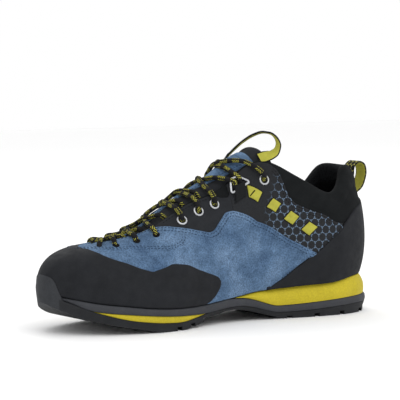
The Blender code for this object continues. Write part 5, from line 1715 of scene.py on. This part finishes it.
def heel_loop_rows():
    """The heel loop's bends, with both ends seated on the heel."""
    vs = np.linspace(0, 1, FINE_STEPS)
    heights = upper_point(0.0, vs)[:, 2]
    ends = [upper_layer(0.0, np.interp(z, heights, vs), WEBBING / 2 + GAP) for z in HEEL_LOOP_SEATS_Z]
    upper_end, lower_end = [(*end, 0.0, 1.0, 0.0) for end in ends]
    return (upper_end,) + HEEL_LOOP + (lower_end,)


def make_webbing_loop(name, bends, width, outside, inside):
    """A flat band that follows a row of bends, one colour outside and another inside."""
    bends = np.array(bends, float)
    count = 160
    route = smooth_route(bends[:, :3], count)
    steps = polyline_lengths(bends[:, :3])
    stops = np.linspace(0, steps[-1], count)
    across = np.stack([blur(np.interp(stops, steps, bends[:, column]), 15) for column in (3, 4, 5)], 1)
    tangents = unit(np.gradient(route, axis=0))
    wide = unit(across - tangents * np.sum(tangents * across, axis=1, keepdims=True))
    out = np.cross(tangents, wide)
    t = np.linspace(-1, 1, 17)
    bulge = np.maximum(round_edge(np.clip((1 - np.abs(t)) / 0.12, 0, 1)), 0.25)
    round_t, high = np.append(t, t[::-1]), np.append(-bulge, bulge)
    profiles = (route[:, None] + wide[:, None] * (round_t * width / 2)[:, None]
                + out[:, None] * (high * WEBBING / 2)[:, None])
    points, faces, uv = loft(profiles, u=polyline_lengths(route), v=np.append((round_t + 1) * width / 2, 0.0))
    slots = np.append(0 * bulge, np.abs(t[::-1]) <= SELVEDGE)
    add_piece(name + "_band", points, faces, [outside, inside], (name,), uv,
              loft_slots(slots, count, 0))


def seam(side, rows, line, distance, off, waved=True):
    """A row of stitches beside an edge on the upper, as points and outward directions."""
    at, v = shift_curve(rows, line(rows), distance)
    around = on_side(side, at)
    if waved:
        off = off + undulation(around, v)
    return surface_curve(around, v, off)


def make_all_stitches(materials):
    """The seams of the suede border, the side panels and the facing."""
    border_rows = np.arange(SUEDE_REAR_ROW + 0.3, BORDER_LAST_ROW - 0.1, 0.05)
    eyestay_rows = np.arange(FLAP_FRONT_ROW + 0.9, EYESTAY_FRONT_ROW - 0.2, 0.05)
    collar_rows = np.arange(row_of(FLAP_REAR) + 0.4, row_of(COLLAR_BORDER[0]) - 0.1, 0.05)
    vs = np.linspace(0.78, 0.97, 30)
    for side, label in SIDES:
        curves = [seam(side, border_rows, suede_high, distance, 2.5) for distance in (1.8, 4.2)]
        make_stitches("border_stitches_" + label, curves, materials["dark thread"])
        curves = [seam(side, eyestay_rows, eyestay_high, 2.2, 1.25, False)]
        for row in (FLAP_FRONT_ROW - 0.16, FLAP_FRONT_ROW - 0.34):
            curves.append(surface_curve(on_side(side, row + 0 * vs), vs, 1.72))
        curves += [seam(side, collar_rows, collar_line, distance, 1.72, False) for distance in (1.6, 3.6)]
        make_stitches("panel_stitches_" + label, curves, materials["black thread"])
    rows = np.arange(FACING_FIRST_ROW + 0.01, LOOP_ROWS - FACING_FIRST_ROW, 0.01)
    curves = [seam(-1, rows, line, distance, 1.8)
              for line, distance in ((seam_line, -1.1), (seam_line, -2.9), (suede_high, 2.0))]
    make_stitches("facing_stitches", curves, materials["dark thread"])


def make_heel_dots(materials):
    """The row of small dots behind the heel rand's front edge."""
    line = smooth_edge([(s - 3.5, z - 4.0) for s, z in HEEL_DOTS])
    rows = np.arange(row_of((38.5, 76.0)), row_of((99.5, 31.0)), 0.05)
    for side, label in SIDES:
        curve = surface_curve(on_side(side, rows), line(rows), heel_rand_base(rows, 0.5) + 1.15)
        make_stitches("heel_dots_" + label, [curve], materials["black thread"], 2.4, 1.0, 0.32)


def make_shoe():
    """All the pieces of the shoe."""
    materials = make_materials()
    make_outsole(materials)
    make_sole_layer("midsole_forefoot", (INSERT_FROM_S, INSERT_TO_S), sole_surface("frame_bottom", GAP),
                    sole_surface("insert_bottom"), INSERT_SIDE, materials["yellow"])
    make_sole_layer("sole_frame", (0.0, FRAME_TO_S), sole_surface("wedge_bottom", GAP),
                    sole_surface("frame_bottom"), FRAME_SIDE, materials["frame"], TOE_TUCK)
    make_sole_layer("midsole_heel", (0.0, WEDGE_FRONT_S), sole_surface("foot", GAP),
                    sole_surface("wedge_bottom"), WEDGE_SIDE, materials["yellow"],
                    lean=HEEL_LEAN)
    make_insole(materials["footbed"])
    make_upper_shell(materials)
    make_collar_pad(materials)
    make_suede_vamp(materials)
    make_suede_facing(materials)
    make_rands(materials)
    for side, label in SIDES:
        make_side_panels(side, label, materials)
        make_hardware(side, label, materials)
        make_straps(side, label, materials)
    make_tongue(materials)
    make_laces(materials)
    make_webbing_loop("tongue_loop", TONGUE_LOOP, TONGUE_LOOP_WIDTH, materials["tab black"],
                      materials["webbing"])
    make_webbing_loop("heel_loop", heel_loop_rows(), HEEL_LOOP_WIDTH, materials["webbing black"],
                      materials["webbing"])
    make_all_stitches(materials)
    make_heel_dots(materials)


def make_stage():
    """The floor, the world and the soft lights."""
    bpy.ops.mesh.primitive_plane_add(size=6.0, location=(0.0, 0.0, 0.0))
    floor = bpy.context.object
    floor.name = "floor"
    material, _, shader = new_material("pale floor", 0.75, 0.2)
    shader.inputs["Base Color"].default_value = (0.97, 0.97, 0.97, 1.0)
    floor.data.materials.append(material)
    world = bpy.data.worlds.new("soft room")
    world.use_nodes = True
    background = world.node_tree.nodes["Background"]
    background.inputs["Color"].default_value = (1.0, 1.0, 1.0, 1.0)
    background.inputs["Strength"].default_value = 1.0
    bpy.context.scene.world = world
    bpy.context.scene.view_settings.view_transform = "Standard"
    for name, place, power, size in LIGHTS:
        light = bpy.data.lights.new(name, "AREA")
        light.energy = power
        light.size = size
        item = bpy.data.objects.new(name, light)
        item.location = place
        aim = np.array(LIGHTS_AIM) - np.array(place)
        item.rotation_euler = mathutils.Vector(aim).to_track_quat("-Z", "Y").to_euler()
        bpy.context.collection.objects.link(item)


def make_camera():
    """The camera that the photo was matched with."""
    turn, rise = math.radians(CAMERA_TURN), math.radians(CAMERA_RISE)
    back = np.array((math.sin(turn) * math.cos(rise), -math.cos(turn) * math.cos(rise), math.sin(rise)))
    right = np.array((math.cos(turn), math.sin(turn), 0.0))
    up = np.cross(back, right)
    camera = bpy.data.cameras.new("camera")
    camera.lens = CAMERA_LENS
    camera.sensor_width = 36.0
    item = bpy.data.objects.new("camera", camera)
    place = np.array(CAMERA_AT) + back * CAMERA_DISTANCE
    target = np.array(CAMERA_AT) + up * AIM_UP + right * AIM_RIGHT
    item.location = place
    item.rotation_euler = mathutils.Vector(target - place).to_track_quat("-Z", "Y").to_euler()
    bpy.context.collection.objects.link(item)
    bpy.context.scene.camera = item


def write_sizes():
    """The lowest and highest corners of each shown mesh but the floor, gathered and not used further."""
    bpy.context.view_layer.update()
    lows, highs = [], []
    for item in bpy.context.scene.objects:
        if item.type == "MESH" and item.name != "floor" and not item.hide_render:
            corners = np.array([item.matrix_world @ vertex.co for vertex in item.data.vertices])
            lows.append(corners.min(0))
            highs.append(corners.max(0))


make_shoe()
make_stage()
make_camera()
write_sizes()
